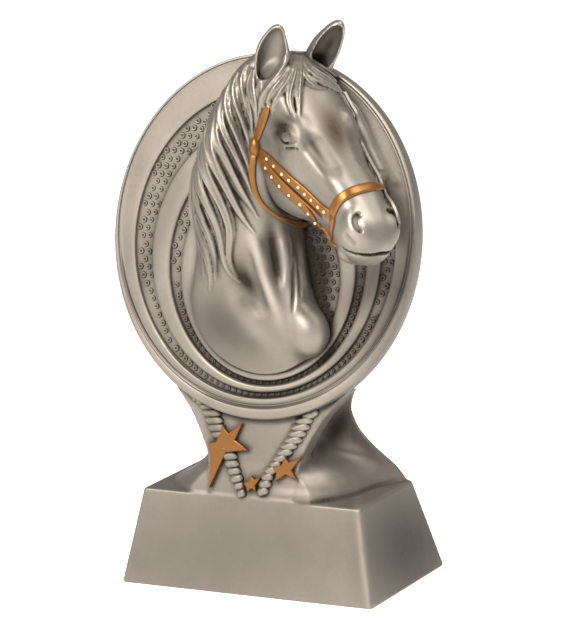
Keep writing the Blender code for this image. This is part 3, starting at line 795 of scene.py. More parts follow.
NECK_HOLLOWS = (
    # path in the picture, radius, depth, blend
    (((270, 218), (271, 238), (273, 256), (276, 274), (279, 292)), 3.2, 1.7, 2.2),
    (((243, 236), (243.5, 254), (245, 272), (249, 290), (256, 308), (266, 328)), 3.6, 1.2, 4.0),
)
NECK_RIDGES = (
    # path in the picture, radius, height, blend
    (((251, 228), (259, 250), (264, 268), (269, 287), (276, 310), (282, 332)), 1.8, 1.0, 1.9),
    (((222, 292), (236, 309), (250, 326), (266, 343)), 5.0, 0.3, 4.0),
    (((279, 220), (283, 240), (285, 262), (286, 285), (289, 318)), 1.3, 0.8, 1.3),
    (((287, 225), (290, 243), (292, 260), (293, 280)), 0.9, 0.5, 0.8),
    (((299, 230), (301, 252), (304, 276), (308, 294), (312, 305)), 1.3, 0.5, 1.2),
)
NECK_GROOVES = (
    # path in the picture, radius, depth, blend
    (((292, 244), (294, 268), (294, 296), (292, 322)), 0.6, 0.6, 0.6),
    (((297, 258), (300, 280), (301, 304)), 0.45, 0.4, 0.5),
)


NECK_STEP = 0.27
NECK_CROWN = 1.9  # how much lower the neck is at its edges than along its middle
WALL_LEANS = (0.12, 0.30)  # right and left
CHEST = ((16.3, -23.6, 3.4), (3.7, 4.8, 3.8), 4.6)


def neck_form():
    """The neck and chest: a swelling top between two side walls."""
    clay = Clay(DISH, (-25.0, -38.0, -2.6), (27.0, 47.0, 22.0), NECK_STEP)
    _, u, v, n = clay.whole()
    rows = np.array(NECK_ROWS)
    left, right, high = (smooth_line(v.ravel(), rows[:, 0], rows[:, k], 1.2)[None, :, None] for k in (1, 2, 3))
    middle, half = (left + right) / 2, (right - left) / 2
    top = n - high + NECK_CROWN * ((u - middle) / half) ** 2
    walls = smooth_most(u - right + WALL_LEANS[0] * n, left - u + WALL_LEANS[1] * n, 2.0)
    field = smooth_most(top, walls, 6.0)
    # below, the chest ends at the dish's innermost ring
    u0, half, low, high = ring_at(6)
    ring = (np.sqrt(((u - u0) / half) ** 2 + ((v - (low + high) / 2) / ((high - low) / 2)) ** 2) - 1.0) * half
    below = np.clip((-v - 12.0) / 6.0, 0, 1)
    field = np.maximum(field, (ring - 0.35) * below - 3.0 * (1 - below))
    clay.field = np.clip(field, -FAR, FAR).astype(np.float32)
    clay.true()
    return clay


def mane_form(clay):
    """The mass under the mane's locks."""
    places = flowing([r[0] for r in MANE_BULK], 6.0)
    share = np.linspace(0, len(MANE_BULK) - 1, len(places))
    heights = np.interp(share, range(len(MANE_BULK)), [r[1] for r in MANE_BULK])
    radii = np.interp(share, range(len(MANE_BULK)), [r[2] for r in MANE_BULK])
    points = [DISH.into(seen_at(x, y, DISH, 2, n)) for (x, y), n in zip(places, heights)]
    clay.strand(points, radii, 1.6)


def skin_of(*bodies):
    """One skin over several bodies, each given by its points and faces."""
    points, faces = [], []
    for p, f in bodies:
        shift = len(points)
        faces += [[i + shift for i in face] for face in f]
        points += p.tolist()
    return BVHTree.FromPolygons(points, faces)


def neck_and_mane(head):
    clay = neck_form()
    skin = clay.skin()
    for line in NECK_HOLLOWS:
        relief_line(clay, skin, *line, cut=True, mirror=False)
    skin = clay.skin()
    for line in NECK_RIDGES:
        relief_line(clay, skin, *line, mirror=False)
    for line in NECK_GROOVES:
        relief_line(clay, skin, *line, cut=True, mirror=False)
    clay.ball(*CHEST)
    mane_form(clay)
    skin = skin_of(clay.surface(), head)
    for path, half, count, lift in MANE:
        hair_lock(clay, skin, path, half * MANE_WIDER, 0.56, lift, count)
    clay.trim(HEAD_BACK)
    return clay


# ------------------------------------------------------------------ dish

# Rings of the dish: middle across, half width, lowest and highest point up the dish.
RINGS = (
    (0.0, 41.55, -46.25, 46.25),
    (-0.2, 40.2, -42.9, 45.4),
    (0.1, 35.7, -40.6, 37.3),
    (0.7, 31.3, -39.2, 29.6),
    (1.4, 26.9, -37.4, 23.6),
    (1.6, 23.9, -36.2, 18.9),
    (1.9, 19.6, -34.2, 12.0),
    (2.0, 4.0, -16.0, -4.0),
)
DISH_THICKNESS = 5.2
DOT_FLOOR = -1.05
RING_SIDES = 288


def ring_at(rho):
    """Middle, half width, lowest and highest point of a place between two rings."""
    k = min(int(rho), len(RINGS) - 2)
    f = rho - k
    return [a + (b - a) * f for a, b in zip(RINGS[k], RINGS[k + 1])]


DISH_PROFILE = (
    # ring position, grown by, height
    (0.0, -3.0, -DISH_THICKNESS),
    (0.0, -1.2, -DISH_THICKNESS),
    (0.0, -0.4, -DISH_THICKNESS + 0.3),
    (0.0, 0.0, -DISH_THICKNESS + 1.1),
    (0.0, 0.05, -2.2),
    (0.0, 0.0, -1.2),
    (0.0, -0.12, -0.62),
    (0.1, 0.0, -0.24),
    (0.3, 0.0, -0.04),
    (0.5, 0.0, 0.0),
    (0.7, 0.0, -0.02),
    (0.9, 0.0, -0.08),
    (1.0, 0.42, -0.14),
    (1.0, 0.22, -0.03),
    (1.0, 0.06, -0.28),
    (1.0, -0.06, -0.30),
    (1.0, -0.22, -0.06),
    (1.0, -0.42, -0.17),
    (1.1, 0.0, -0.19),
    (1.5, 0.0, -0.14),
    (1.9, 0.0, -0.12),
    (2.0, 0.3, -0.14),
    (2.0, 0.08, -0.22),
    (2.0, 0.0, -0.4),
    (2.0, -0.05, DOT_FLOOR),
    (2.1, 0.0, DOT_FLOOR - 0.08),
    (2.9, 0.0, DOT_FLOOR - 0.08),
    (3.0, 0.1, DOT_FLOOR),
    (3.0, 0.0, -0.42),
    (3.0, -0.1, -0.22),
    (3.0, -0.35, -0.12),
    (3.2, 0.0, -0.02),
    (3.5, 0.0, 0.03),
    (3.8, 0.0, -0.02),
    (4.0, 0.35, -0.14),
    (4.0, 0.1, -0.26),
    (4.0, 0.0, -0.45),
    (4.0, -0.05, DOT_FLOOR),
    (4.1, 0.0, DOT_FLOOR - 0.08),
    (4.9, 0.0, DOT_FLOOR - 0.08),
    (5.0, 0.1, DOT_FLOOR),
    (5.0, 0.0, -0.42),
    (5.0, -0.1, -0.22),
    (5.0, -0.35, -0.12),
    (5.25, 0.0, -0.02),
    (5.5, 0.0, 0.02),
    (5.75, 0.0, -0.04),
    (6.0, 0.35, -0.16),
    (6.0, 0.1, -0.28),
    (6.0, 0.0, -0.5),
    (6.0, -0.1, DOT_FLOOR),
    (6.15, 0.0, DOT_FLOOR - 0.05),
    (6.6, 0.0, DOT_FLOOR - 0.05),
    (7.0, 0.0, DOT_FLOOR - 0.05),
)


def refined(profile, step):
    """The profile with long spans cut into shorter ones."""
    out = [profile[0]]
    for a, b in zip(profile[:-1], profile[1:]):
        ra, rb = ring_at(a[0]), ring_at(b[0])
        span = math.hypot(ra[1] + a[1] - rb[1] - b[1], a[2] - b[2])
        n = max(1, int(math.ceil(span / step)))
        for i in range(1, n + 1):
            f = i / n
            out.append(tuple(p + (q - p) * f for p, q in zip(a, b)))
    return out


def dish_rings():
    turn = np.linspace(0, 2 * math.pi, RING_SIDES, endpoint=False)
    points = []
    rows = refined(DISH_PROFILE, 1.1)
    for rho, grow, n in rows:
        u0, half, low, high = ring_at(rho)
        u = u0 + (half + grow) * np.cos(turn)
        v = (low + high) / 2 + ((high - low) / 2 + grow) * np.sin(turn)
        points.append(DISH.out(np.stack((u, v, np.full(RING_SIDES, n)), 1)))
    faces = rows_joined(len(rows), RING_SIDES)
    for row, flip in ((0, True), (len(rows) - 1, False)):
        faces += fan(row * RING_SIDES, RING_SIDES, len(rows) * RING_SIDES + (row > 0), flip)
        points.append(points[row].mean(0))
    return np.vstack(points), faces


# ------------------------------------------------------------------ plinth and stem

BASE_WIDTH, BASE_DEPTH, BASE_HEIGHT = 69.4, 49.4, 24.8
BASE_SIDE_INSET, BASE_FRONT_INSET, BASE_BACK_INSET = 4.8, 3.3, 10.9
DEEPEST = 24.38  # the casting ends there behind
PLINTH_EDGE = 0.7  # rounding of its edges
STEM_STEP = 0.38


def box_planes():
    """Outward normal and a point of each face of the tapered plinth."""
    w, d, h = BASE_WIDTH / 2, BASE_DEPTH / 2, BASE_HEIGHT
    return (
        ((0, 0, -1), (0, 0, 0)),
        ((0, 0, 1), (0, 0, h)),
        ((h, 0, BASE_SIDE_INSET), (w, 0, 0)),
        ((-h, 0, BASE_SIDE_INSET), (-w, 0, 0)),
        ((0, -h, BASE_FRONT_INSET), (0, -d, 0)),
        ((0, h, BASE_BACK_INSET), (0, d, 0)),
    )


WORLD = Place((0, 0, 0), (1, 0, 0), (0, 1, 0), (0, 0, 1))

PANEL_SETBACK = 2.6  # behind the dish's front
PANEL_THICKNESS = 7.0
PANEL_OUTLINE = (
    # height above the plinth, half width of the leaning panel
    (-0.6, 10.9),
    (0.0, 11.0),
    (5.0, 11.9),
    (11.0, 13.0),
    (15.7, 15.2),
    (20.6, 18.0),
    (26.7, 23.0),
    (31.0, 27.0),
)

FOOT = (
    # height above the plinth; middle of the front; widest part of the front; corner at the back
    (-1.6, -20.0, (21.6, -8.0), (28.2, 13.2)),
    (0.0, -21.0, (22.6, -8.3), (28.8, 13.4)),
    (0.9, -21.7, (22.9, -8.7), (28.6, 13.4)),
    (2.2, -21.6, (22.3, -8.9), (27.6, 13.3)),
    (4.2, -21.2, (20.8, -9.4), (26.1, 12.5)),
    (6.5, -20.6, (18.0, -9.9), (24.5, 10.4)),
    (9.1, -19.3, (14.2, -10.4), (23.2, 7.5)),
    (12.1, -18.9, (11.9, -11.7), (21.9, 4.4)),
    (16.0, -18.5, (11.6, -13.0), (21.0, 0.4)),
    (20.2, -18.2, (14.0, -14.0), (21.2, -3.7)),
    (23.8, -17.9, (18.6, -15.1), (22.6, -7.6)),
    (27.9, -17.2, (20.8, -14.6), (24.6, -10.3)),
    (33.0, -16.4, (20.0, -13.8), (26.0, -11.8)),
)


def foot_form(low, step, shape):
    """Distances to the swept foot: a pillow in front, hollow flanks and a back that runs to the corners."""
    rings = []
    for rise, front, (x1, y1), (x2, y2) in FOOT:
        half = [
            (0.0, front),
            (0.62 * x1, front + 0.02 * (y1 - front)),
            (0.87 * x1, front + 0.42 * (y1 - front)),
            (x1, y1),
            (x1 + 0.20 * (x2 - x1), y1 + 0.46 * (y2 - y1)),
            (x1 + 0.60 * (x2 - x1), y1 + 0.76 * (y2 - y1)),
            (0.985 * x2, y2 - 0.8),
            (0.90 * x2, y2 + 0.2),
            (0.45 * x2, y2 + 0.3),
        ]
        # the left flank spreads over the plinth without a ledge
        spread_out = 4.0 * max(0.0, 1.0 - max(rise, 0.0) / 4.0) ** 1.5
        other = [(max(-x - spread_out * min(1.0, k / 3) * (k < 5), -29.0), y) for k, (x, y) in enumerate(half)]
        ring = half + [(0.0, y2 + 0.3)] + list(reversed(other[1:]))
        rings.append([(x, y, BASE_HEIGHT + rise) for x, y in ring])
    rings = np.array(rings)
    cuts = np.arange(6) / 6
    tall = np.stack([curve(rings[:, k], cuts) for k in range(rings.shape[1])], 1)
    fine = []
    for ring in tall:
        loop = np.vstack((ring[-2:], ring, ring[:3]))
        fine.append(curve(loop, cuts)[2 * len(cuts) : (2 + len(ring)) * len(cuts)])
    n = len(fine[0])
    points = np.vstack(fine)
    ends = []
    for row in (0, len(fine) - 1):
        ends += fan(row * n, n, len(points), row == 0)
        points = np.vstack((points, fine[row].mean(0)))
    return closeness(points, rows_joined(len(fine), n), ends, low, step, shape)


def closeness(points, quads, triangles, low, step, shape):
    """Distances to a closed mesh on a block's grid, below zero inside it."""
    grid = openvdb.FloatGrid.createLevelSetFromPolygons(
        ((points - low) / step).astype(np.float32),
        triangles=np.array(triangles, np.uint32).reshape(-1, 3),
        quads=np.array(quads, np.uint32).reshape(-1, 4),
        transform=openvdb.createLinearTransform(voxelSize=1.0),
        halfWidth=FAR / step,
    )
    values = np.zeros(shape, np.float32)
    grid.copyToArray(values, ijk=(0, 0, 0))
    return values * step


def plinth_and_stem():
    low = (-36.0, -26.0, -0.6)
    clay = Clay(WORLD, low, (36.0, 26.0, 58.0), STEM_STEP)
    part, x, y, z = clay.whole()
    d = np.full(clay.count, -FAR, np.float32)
    for normal, point in box_planes():
        n = np.array(normal, float)
        n /= np.linalg.norm(n)
        face = (x - point[0]) * n[0] + (y - point[1]) * n[1] + (z - point[2]) * n[2]
        if normal[1] < 0:
            front = face
        d = smooth_most(d, face, PLINTH_EDGE).astype(np.float32)
    clay.field = d
    body = foot_form(np.array(low), STEM_STEP, clay.count)
    # the leaning front panel
    rise = (z - BASE_HEIGHT).ravel()
    v = (y - DISH_LOW[1]) * DISH_V[1] + (z - DISH_LOW[2]) * DISH_V[2]
    n = (y - DISH_LOW[1]) * DISH_N[1] + (z - DISH_LOW[2]) * DISH_N[2]
    outline = np.array(PANEL_OUTLINE)
    wide = smooth_line(rise, outline[:, 0], outline[:, 1], 0.6)[None, None, :]
    panel = np.maximum(np.abs(x) - wide, n + PANEL_SETBACK)
    panel = np.maximum(panel, -(n + PANEL_SETBACK + PANEL_THICKNESS))
    panel = np.maximum(panel, np.maximum(front + 0.35, BASE_HEIGHT - 2.0 - z)).astype(np.float32)
    # the foot stays behind the panel's face, the plinth's front and the dish's back
    behind = 0.03 + 0.47 * np.clip((rise - 6.0) / 5.0, 0, 1)[None, None, :]
    body = np.maximum(body, (n + PANEL_SETBACK + behind).astype(np.float32))
    body = np.maximum(body, (front + 0.5).astype(np.float32))
    body = np.maximum(body, np.where(v > 0.0, n + 1.6, -FAR).astype(np.float32))
    panel = np.maximum(panel, np.where(v > -0.5, n + 1.2, -FAR).astype(np.float32))
    clay.join(part, body, 1.0)
    clay.join(part, panel, 0.7)
    top = (z - (DISH_LOW[2] + 8.0)).astype(np.float32)
    clay.field = np.maximum(np.maximum(clay.field, top), (y - DEEPEST).astype(np.float32))
    return clay


# ------------------------------------------------------------------ stars and ropes

# Outlines of the stars in the picture, tip and notch by turns.
STARS = (
    ((221.9, 425.6), (228.2, 433.2), (241.9, 423.6), (234.6, 440.0), (247.6, 450.2), (225.6, 452.2),
        (208.9, 487.6), (210.6, 456.0), (207.6, 443.6), (215.8, 441.6)),
    ((284.8, 457.4), (288.2, 462.4), (300.6, 458.2), (290.9, 470.2), (295.8, 479.6), (285.2, 474.6),
        (274.4, 481.8), (275.9, 473.6), (271.8, 467.2), (280.4, 465.6)),
    ((251.0, 476.2), (253.9, 479.6), (260.2, 477.6), (254.9, 485.4), (255.6, 491.4), (250.6, 488.4),
        (247.4, 491.8), (245.8, 487.0), (243.0, 483.2), (247.4, 481.4)),
)
STAR_RAISE = 1.25


PANEL_FACE = Place(DISH_LOW - DISH_N * PANEL_SETBACK, (1.0, 0.0, 0.0), DISH_V, DISH_N)
STAR_ROOT = -0.6
# From the root to the flat top: how far in from the outline, and how high.
STAR_ROWS = ((0.0, STAR_ROOT), (0.0, STAR_RAISE - 0.32), (0.10, STAR_RAISE - 0.08), (0.32, STAR_RAISE))


def stars():
    points, faces = [], []
    for outline in STARS:
        flat = np.array([PANEL_FACE.into(seen_at(x, y, PANEL_FACE, 2, STAR_RAISE))[:2] for x, y in outline])
        first, n, rows = len(points), len(outline), len(STAR_ROWS)
        middle = flat[1::2].mean(0)
        for inset, height in STAR_ROWS:
            for p in flat:
                toward = middle - p
                q = p + toward * min(0.9, inset / np.linalg.norm(toward))
                points.append(PANEL_FACE.out((q[0], q[1], height)))
        faces += rows_joined(rows, n, first)
        for row, height, flip in ((0, STAR_ROOT, True), (rows - 1, STAR_RAISE + 0.06, False)):
            faces += fan(first + row * n, n, len(points), flip)
            points.append(PANEL_FACE.out((*middle, height)))
    return np.array(points), faces


# The ropes in the picture: middle and half width.
ROPE_PATHS = (
    ((197.0, 396.5, 5.0), (204.0, 400.5, 8.2), (209.7, 407.5, 9.6), (212.8, 415.0, 9.8),
        (216.0, 425.0, 9.5), (222.0, 438.0, 8.8), (228.5, 452.0, 8.2), (231.5, 463.0, 7.9),
        (234.0, 471.0, 7.5), (237.0, 479.0, 6.6), (240.0, 488.0, 5.4), (241.5, 493.0, 4.2)),
    ((314.5, 412.5, 4.0), (308.0, 415.5, 7.6), (302.5, 423.0, 9.6), (297.5, 433.0, 9.8),
        (292.5, 441.0, 9.4), (287.8, 447.5, 9.0), (283.5, 454.0, 8.4), (276.8, 463.0, 7.2),
        (271.5, 470.0, 6.8), (267.5, 477.0, 6.6), (265.0, 484.0, 6.6), (262.8, 491.0, 6.0)),
)


# ------------------------------------------------------------------ halter

STRAP_RAISE = 0.62
STRAP_WIDER = 1.1
# Across a strap: how far out in half widths, and how high.
STRAP_PROFILE = (
    (-1.0, -0.45), (-1.0, 0.35), (-0.93, 0.8), (-0.78, 0.97), (-0.4, 1.0), (0.0, 1.0), (0.4, 1.0),
    (0.78, 0.97), (0.93, 0.8), (1.0, 0.35), (1.0, -0.45),
)

HALTER = (
    # path in the picture, half widths, how far it is raised
    (((268.5, 106), (264, 119), (259, 133), (256, 142)), (0.9, 1.15, 1.2, 1.1), 1.0),
    (((259, 150), (268, 158), (276, 166), (291, 180), (306.5, 194), (320, 207), (331, 215)),
        (1.0, 1.12, 1.15, 1.15, 1.15, 1.12, 1.1), 1.0),
    (((258, 157), (267, 168), (274.5, 177), (283, 187), (293, 196.5), (303, 205.5), (311, 214), (318, 224)),
        (0.9, 1.05, 1.1, 1.1, 1.1, 1.1, 1.0, 0.9), 1.0),
    (((262, 154), (276, 171.5), (290, 186.5), (303, 198.5), (315, 209.5), (322, 217)),
        (0.16, 0.16, 0.16, 0.16, 0.16, 0.16), 1.45),
    (((332, 217), (335.5, 206), (343, 197), (355, 190.8), (369, 187.2), (385, 185.4)),
        (1.2, 1.15, 1.15, 1.15, 1.15, 1.05), 1.05),
    (((317, 221), (320.5, 231), (326, 240.5), (337, 246.5)), (0.75, 0.7, 0.65, 0.5), 1.1),
    (((333, 213), (333, 226), (331.5, 236), (329, 241)), (0.95, 0.75, 0.65, 0.7), 1.1),
    (((254.5, 152), (252.7, 165), (252.6, 178), (255, 190), (259.5, 200), (267, 209), (277, 216.5),
        (288, 221.5), (298, 224.5), (308, 225)), (0.8, 0.85, 0.8, 0.7, 0.55, 0.42, 0.40, 0.5, 0.7, 0.7), 1.0),
)
STUDS = (
    (269, 159), (276, 166), (284, 174), (291, 180), (300, 187), (306.5, 194), (313, 200), (320, 207),
        (326, 212),
    (268, 168), (274, 177), (281.5, 186), (291, 195), (302, 204), (310, 213), (317, 222),
)
BOSS_AT = (255.2, 146.5)
BOSS_HALF = (1.62, 2.55, 1.55)  # across, upright and out
BOSS_RINGS, BOSS_SIDES = 9, 28


def strap(skin, path, halves, raised, first):
    """A strap with a rounded profile, laid on a skin."""
    points, normals = lay(skin, path, 2.5, rounds=4)
    n = len(points)
    half = STRAP_WIDER * np.interp(np.linspace(0, 1, n), np.linspace(0, 1, len(halves)), halves)
    ahead = np.gradient(points, axis=0)
    ahead /= np.linalg.norm(ahead, axis=1)[:, None]
    across = np.cross(normals, ahead)
    across /= np.linalg.norm(across, axis=1)[:, None]
    rows = []
    for i in range(n):
        from_end = min(i, n - 1 - i)
        fade = math.sqrt(max(0.0, 1 - max(0.0, 1 - from_end / 1.6) ** 2))
        row = []
        for k, h in STRAP_PROFILE:
            q = points[i] + across[i] * (k * half[i] * (0.45 + 0.55 * fade))
            hit, normal = skin.find_nearest(Vector(q))[:2]
            up = np.array(normal) * 0.5 + normals[i] * 0.5
            up /= np.linalg.norm(up)
            lift = STRAP_RAISE * raised * h
            row.append(np.array(hit) + up * (lift if from_end else min(lift, 0.1)))
        rows.append(row)
    return soften(rows, 2).reshape(-1, 3), tube(n, len(STRAP_PROFILE), first, flip=True)


def boss(skin):
    """The egg-shaped boss where the straps meet."""
    (at,), (facing,) = (v[:1] for v in lay(skin, [BOSS_AT, (BOSS_AT[0], BOSS_AT[1] + 1)], 1.0))
    upright = TOP - facing * (TOP @ facing)
    upright /= np.linalg.norm(upright)
    aside = np.cross(upright, facing)
    points = []
    for i, j in product(range(BOSS_RINGS), range(BOSS_SIDES)):
        out = math.cos(0.5 * math.pi * i / BOSS_RINGS)
        up = math.sin(0.5 * math.pi * i / BOSS_RINGS)
        turn = 2 * math.pi * j / BOSS_SIDES
        egg = 1.0 - 0.12 * math.sin(turn)
        points.append(
            at
            + aside * (BOSS_HALF[0] * out * math.cos(turn) * egg)
            + upright * (BOSS_HALF[1] * out * math.sin(turn))
            + facing * (BOSS_HALF[2] * up - 0.15 - 0.5 * (i == 0))
        )
    return points


def halter(skin):
    points, faces = [], []
    for path, halves, raised in HALTER:
        p, f = strap(skin, path, halves, raised, len(points))
        points.extend(p)
        faces.extend(f)
    faces += tube(BOSS_RINGS, BOSS_SIDES, len(points))
    return np.array(points + boss(skin)), faces


# ------------------------------------------------------------------ repeated parts


class Wire:
    """An output of a node. Sums and products of wires add their Math nodes."""

    def __init__(self, nodes, socket):
        self.nodes, self.socket = nodes, socket

    def _math(self, operation, a, b):
        return self.nodes.add("ShaderNodeMath", {"operation": operation}, a, b)

    def __add__(self, b):
        return self._math("ADD", self, b)

    def __radd__(self, a):
        return self._math("ADD", a, self)

    def __sub__(self, b):
        return self._math("SUBTRACT", self, b)

    def __rsub__(self, a):
        return self._math("SUBTRACT", a, self)

    def __mul__(self, b):
        return self._math("MULTIPLY", self, b)

    def __rmul__(self, a):
        return self._math("MULTIPLY", a, self)

    def clipped(self):
        return self.nodes.add("ShaderNodeClamp", {}, self)


class Nodes:
    """A tree of nodes, of a finish, the studio or a pattern."""

    def __init__(self, tree):
        self.tree = tree
        tree.nodes.clear()

    def add(self, kind, settings, *values, out=0, **named):
        """Adds a node with its settings, then the values or wires of its sockets."""
        n = self.tree.nodes.new(kind)
        n.location = (40 * len(self.tree.nodes), 0)
        for key, value in settings.items():
            setattr(n, key, value)
        for key, value in [*enumerate(values), *((k.replace("_", " "), v) for k, v in named.items())]:
            if value is None:
                continue
            if isinstance(key, str):
                socket = next(s for s in n.inputs if s.name == key and s.enabled)
            else:
                socket = n.inputs[key]
            if isinstance(value, Wire):
                self.tree.links.new(value.socket, socket)
            else:
                socket.default_value = value
        return Wire(self, n.outputs[out]) if n.outputs else None

    def mix(self, factor, a, b):
        return self.add("ShaderNodeMix", {"data_type": "RGBA"}, factor, *[None] * 5, a, b, out=2)

    def noise(self, where, scale, detail):
        return self.add("ShaderNodeTexNoise", {}, Vector=where, Scale=scale, Detail=detail, Roughness=0.55)

    def stored(self, name):
        return self.add("ShaderNodeAttribute", {"attribute_name": name}, out=2)


# What is stored at each point that gets a pattern.
POINT_VALUES = ("facing", "along", "grow")


def pattern_tree(name, finish, seed):
    """A tree that sets a pattern on points, by their stored facing, direction and size."""
    tree = bpy.data.node_groups.new(name, "GeometryNodeTree")
    kinds = (("Geometry", "Geometry"), ("Size", "Float"), ("Unevenness", "Float"), ("Pattern", "Object"))
    for key, kind in kinds:
        tree.interface.new_socket(key, in_out="INPUT", socket_type="NodeSocket" + kind)
    tree.interface.new_socket("Geometry", in_out="OUTPUT", socket_type="NodeSocketGeometry")
    t = Nodes(tree)
    given = {key: t.add("NodeGroupInput", {}, out=key) for key, _ in kinds}
    facing, along, grow = (
        t.add("GeometryNodeInputNamedAttribute", {"data_type": "FLOAT_VECTOR"}, key, out="Attribute")
        for key in POINT_VALUES
    )
    turn = t.add("FunctionNodeAlignRotationToVector", {"axis": "Z"}, Vector=facing)
    settings = {"axis": "X", "pivot_axis": "Z"}
    turn = t.add("FunctionNodeAlignRotationToVector", settings, Rotation=turn, Vector=along)
    low, high = 1.0 - given["Unevenness"], 1.0 + given["Unevenness"]
    chance = t.add("FunctionNodeRandomValue", {"data_type": "FLOAT"}, None, None, low, high, out=1, Seed=seed)
    scale = t.add("ShaderNodeVectorMath", {"operation": "SCALE"}, grow, None, None, chance * given["Size"])
    shape = t.add("GeometryNodeObjectInfo", {}, given["Pattern"], out="Geometry")
    put = t.add(
        "GeometryNodeInstanceOnPoints", {}, given["Geometry"], Instance=shape, Rotation=turn, Scale=scale
    )
    real = t.add("GeometryNodeRealizeInstances", {}, put)
    t.add("NodeGroupOutput", {}, t.add("GeometryNodeSetMaterial", {}, real, Material=finish))
    return tree


def repeated(name, pattern, points, values, finish, size, uneven, seed):
    """One mesh of a small pattern set on many points, made by Geometry Nodes."""
    mesh = bpy.data.meshes.new(name + "_points")
    mesh.from_pydata((np.asarray(points) * MM).tolist(), [], [])
    for key, value in zip(POINT_VALUES, values):
        layer = mesh.attributes.new(key, "FLOAT_VECTOR", "POINT")
        layer.data.foreach_set("vector", np.asarray(value, np.float32).ravel())
    carrier = linked(bpy.data.objects.new(name + "_points", mesh))
    shape = bpy.data.meshes.new(name + "_pattern")
    shape.from_pydata((np.asarray(pattern[0]) * MM).tolist(), [], pattern[1])
    smoothed(shape)
    sample = bpy.data.objects.new(name + "_pattern", shape)

    modifier = carrier.modifiers.new(name, "NODES")
    modifier.node_group = pattern_tree(name, finish, seed)
    given = {"Size": size, "Unevenness": uneven, "Pattern": sample}
    for socket in modifier.node_group.interface.items_tree:
        if socket.in_out == "INPUT" and socket.name in given:
            modifier[socket.identifier] = given[socket.name]
    bpy.context.view_layer.update()
    made = carrier.evaluated_get(bpy.context.evaluated_depsgraph_get())
    result = bpy.data.meshes.new_from_object(made)
    result.name = name
    for key in POINT_VALUES:
        if key in result.attributes:
            result.attributes.remove(result.attributes[key])
    bpy.data.objects.remove(carrier)
    bpy.data.objects.remove(sample)
    return linked(bpy.data.objects.new(name, result))


def turned(profile, sides):
    """A little shape turned from (radius, height) rows, closed at both ends."""
    points = []
    for (radius, height), j in product(profile, range(sides)):
        a = 2 * math.pi * j / sides
        points.append((radius * math.cos(a), radius * math.sin(a), height))
    return points, tube(len(profile), sides)


# Rows of a dot and of a stud: radius and height.
DOT_SHAPE = ((0.80, -0.35), (0.76, 0.10), (0.60, 0.40), (0.44, 0.44), (0.32, 0.28), (0.20, 0.18), (0.07, 0.22))
STUD_SHAPE = ((0.5, -0.3), (0.5, 0.08), (0.42, 0.28), (0.24, 0.40), (0.06, 0.43))
DOT_PITCH = (2.05, 2.0)
DOT_SCATTER = 0.08
DOT_BANDS = ((2, 3), (4, 5), (6, 6.85))  # rings that they lie between
DOT_CLEAR = 0.66  # from a ring
DOT_NARROW = 2.7  # a band that isn't wider has a single row
DOT_ROW_PITCH = 1.75


def beyond(rho, u, v):
    """About how far a place of the dish lies outside a ring."""
    u0, half, low, high = ring_at(rho)
    p, q, tall = u - u0, v - (low + high) / 2, (high - low) / 2
    k = math.hypot(p / half, q / tall)
    return k * (k - 1.0) / (math.hypot(p / half**2, q / tall**2) + 1e-9)


def dot_places():
    """Rows of dots over the bands; a single row where a band gets narrow."""
    chance = np.random.default_rng(7)
    out = []
    for row, v in enumerate(np.arange(-46.0, 46.0, DOT_PITCH[1])):
        for u in np.arange(-40.0, 40.0, DOT_PITCH[0]) + (row % 2) * DOT_PITCH[0] / 2:
            p = u + chance.normal(0, DOT_SCATTER)
            q = v + chance.normal(0, DOT_SCATTER)
            for outer, inner in DOT_BANDS:
                a, b = -beyond(outer, p, q), beyond(inner, p, q)
                if a > DOT_CLEAR and b > DOT_CLEAR and a + b > DOT_NARROW:
                    out.append((p, q, 1.0))
    for outer, inner in DOT_BANDS[:2]:
        last = np.array((99.0, 99.0))
        for turn in np.radians(np.arange(-270.0, 90.0, 0.5)):
            u0, half, low, high = ring_at((outer + inner) / 2)
            at = np.array((u0 + half * math.cos(turn), (low + high) / 2 + (high - low) / 2 * math.sin(turn)))
            wide = beyond(inner, *at) - beyond(outer, *at)
            if wide <= DOT_NARROW and np.linalg.norm(at - last) > DOT_ROW_PITCH:
                out.append((*at, min(1.0, 0.42 * wide)))
                last = at
    return np.array(out)


def dish_dots(finish):
    at = dot_places()
    points = DISH.out(np.column_stack((at[:, :2], np.full(len(at), DOT_FLOOR - 0.05))))
    facing = np.tile(DISH_N, (len(at), 1))
    spin = np.random.default_rng(11).uniform(0, 2 * math.pi, len(at))
    along = np.cos(spin)[:, None] * np.array((1.0, 0, 0)) + np.sin(spin)[:, None] * DISH_V
    grow = np.column_stack((at[:, 2], at[:, 2], 0.5 + 0.5 * at[:, 2]))
    return repeated("dish_dots", turned(DOT_SHAPE, 10), points, (facing, along, grow), finish, 1.0, 0.12, 3)


def strand_shape(rings=15, sides=20):
    """One turn of rope: a fat twist with fibres along it."""
    points = []
    for i, j in product(range(rings), range(sides)):
        t = -1.0 + 2.0 * i / (rings - 1)
        size = max(0.05, (1 - abs(t) ** 3.0) ** 0.6)
        a = 2 * math.pi * j / sides
        size *= 1.0 + 0.09 * math.cos(5 * a + 3.0 * t)
        points.append((t, size * math.cos(a) + 0.12 * math.sin(3.0 * t), size * math.sin(a)))
    return points, tube(rings, sides)


ROPE_PITCH = 7.6  # between turns, in pixels
ROPE_PIXELS = 3.6  # to the millimetre
ROPE_THICKNESS = 1.22
ROPE_HEIGHT = 0.95
ROPE_SLANTS = (-0.10, 0.06)  # of the turns on the left and the right rope


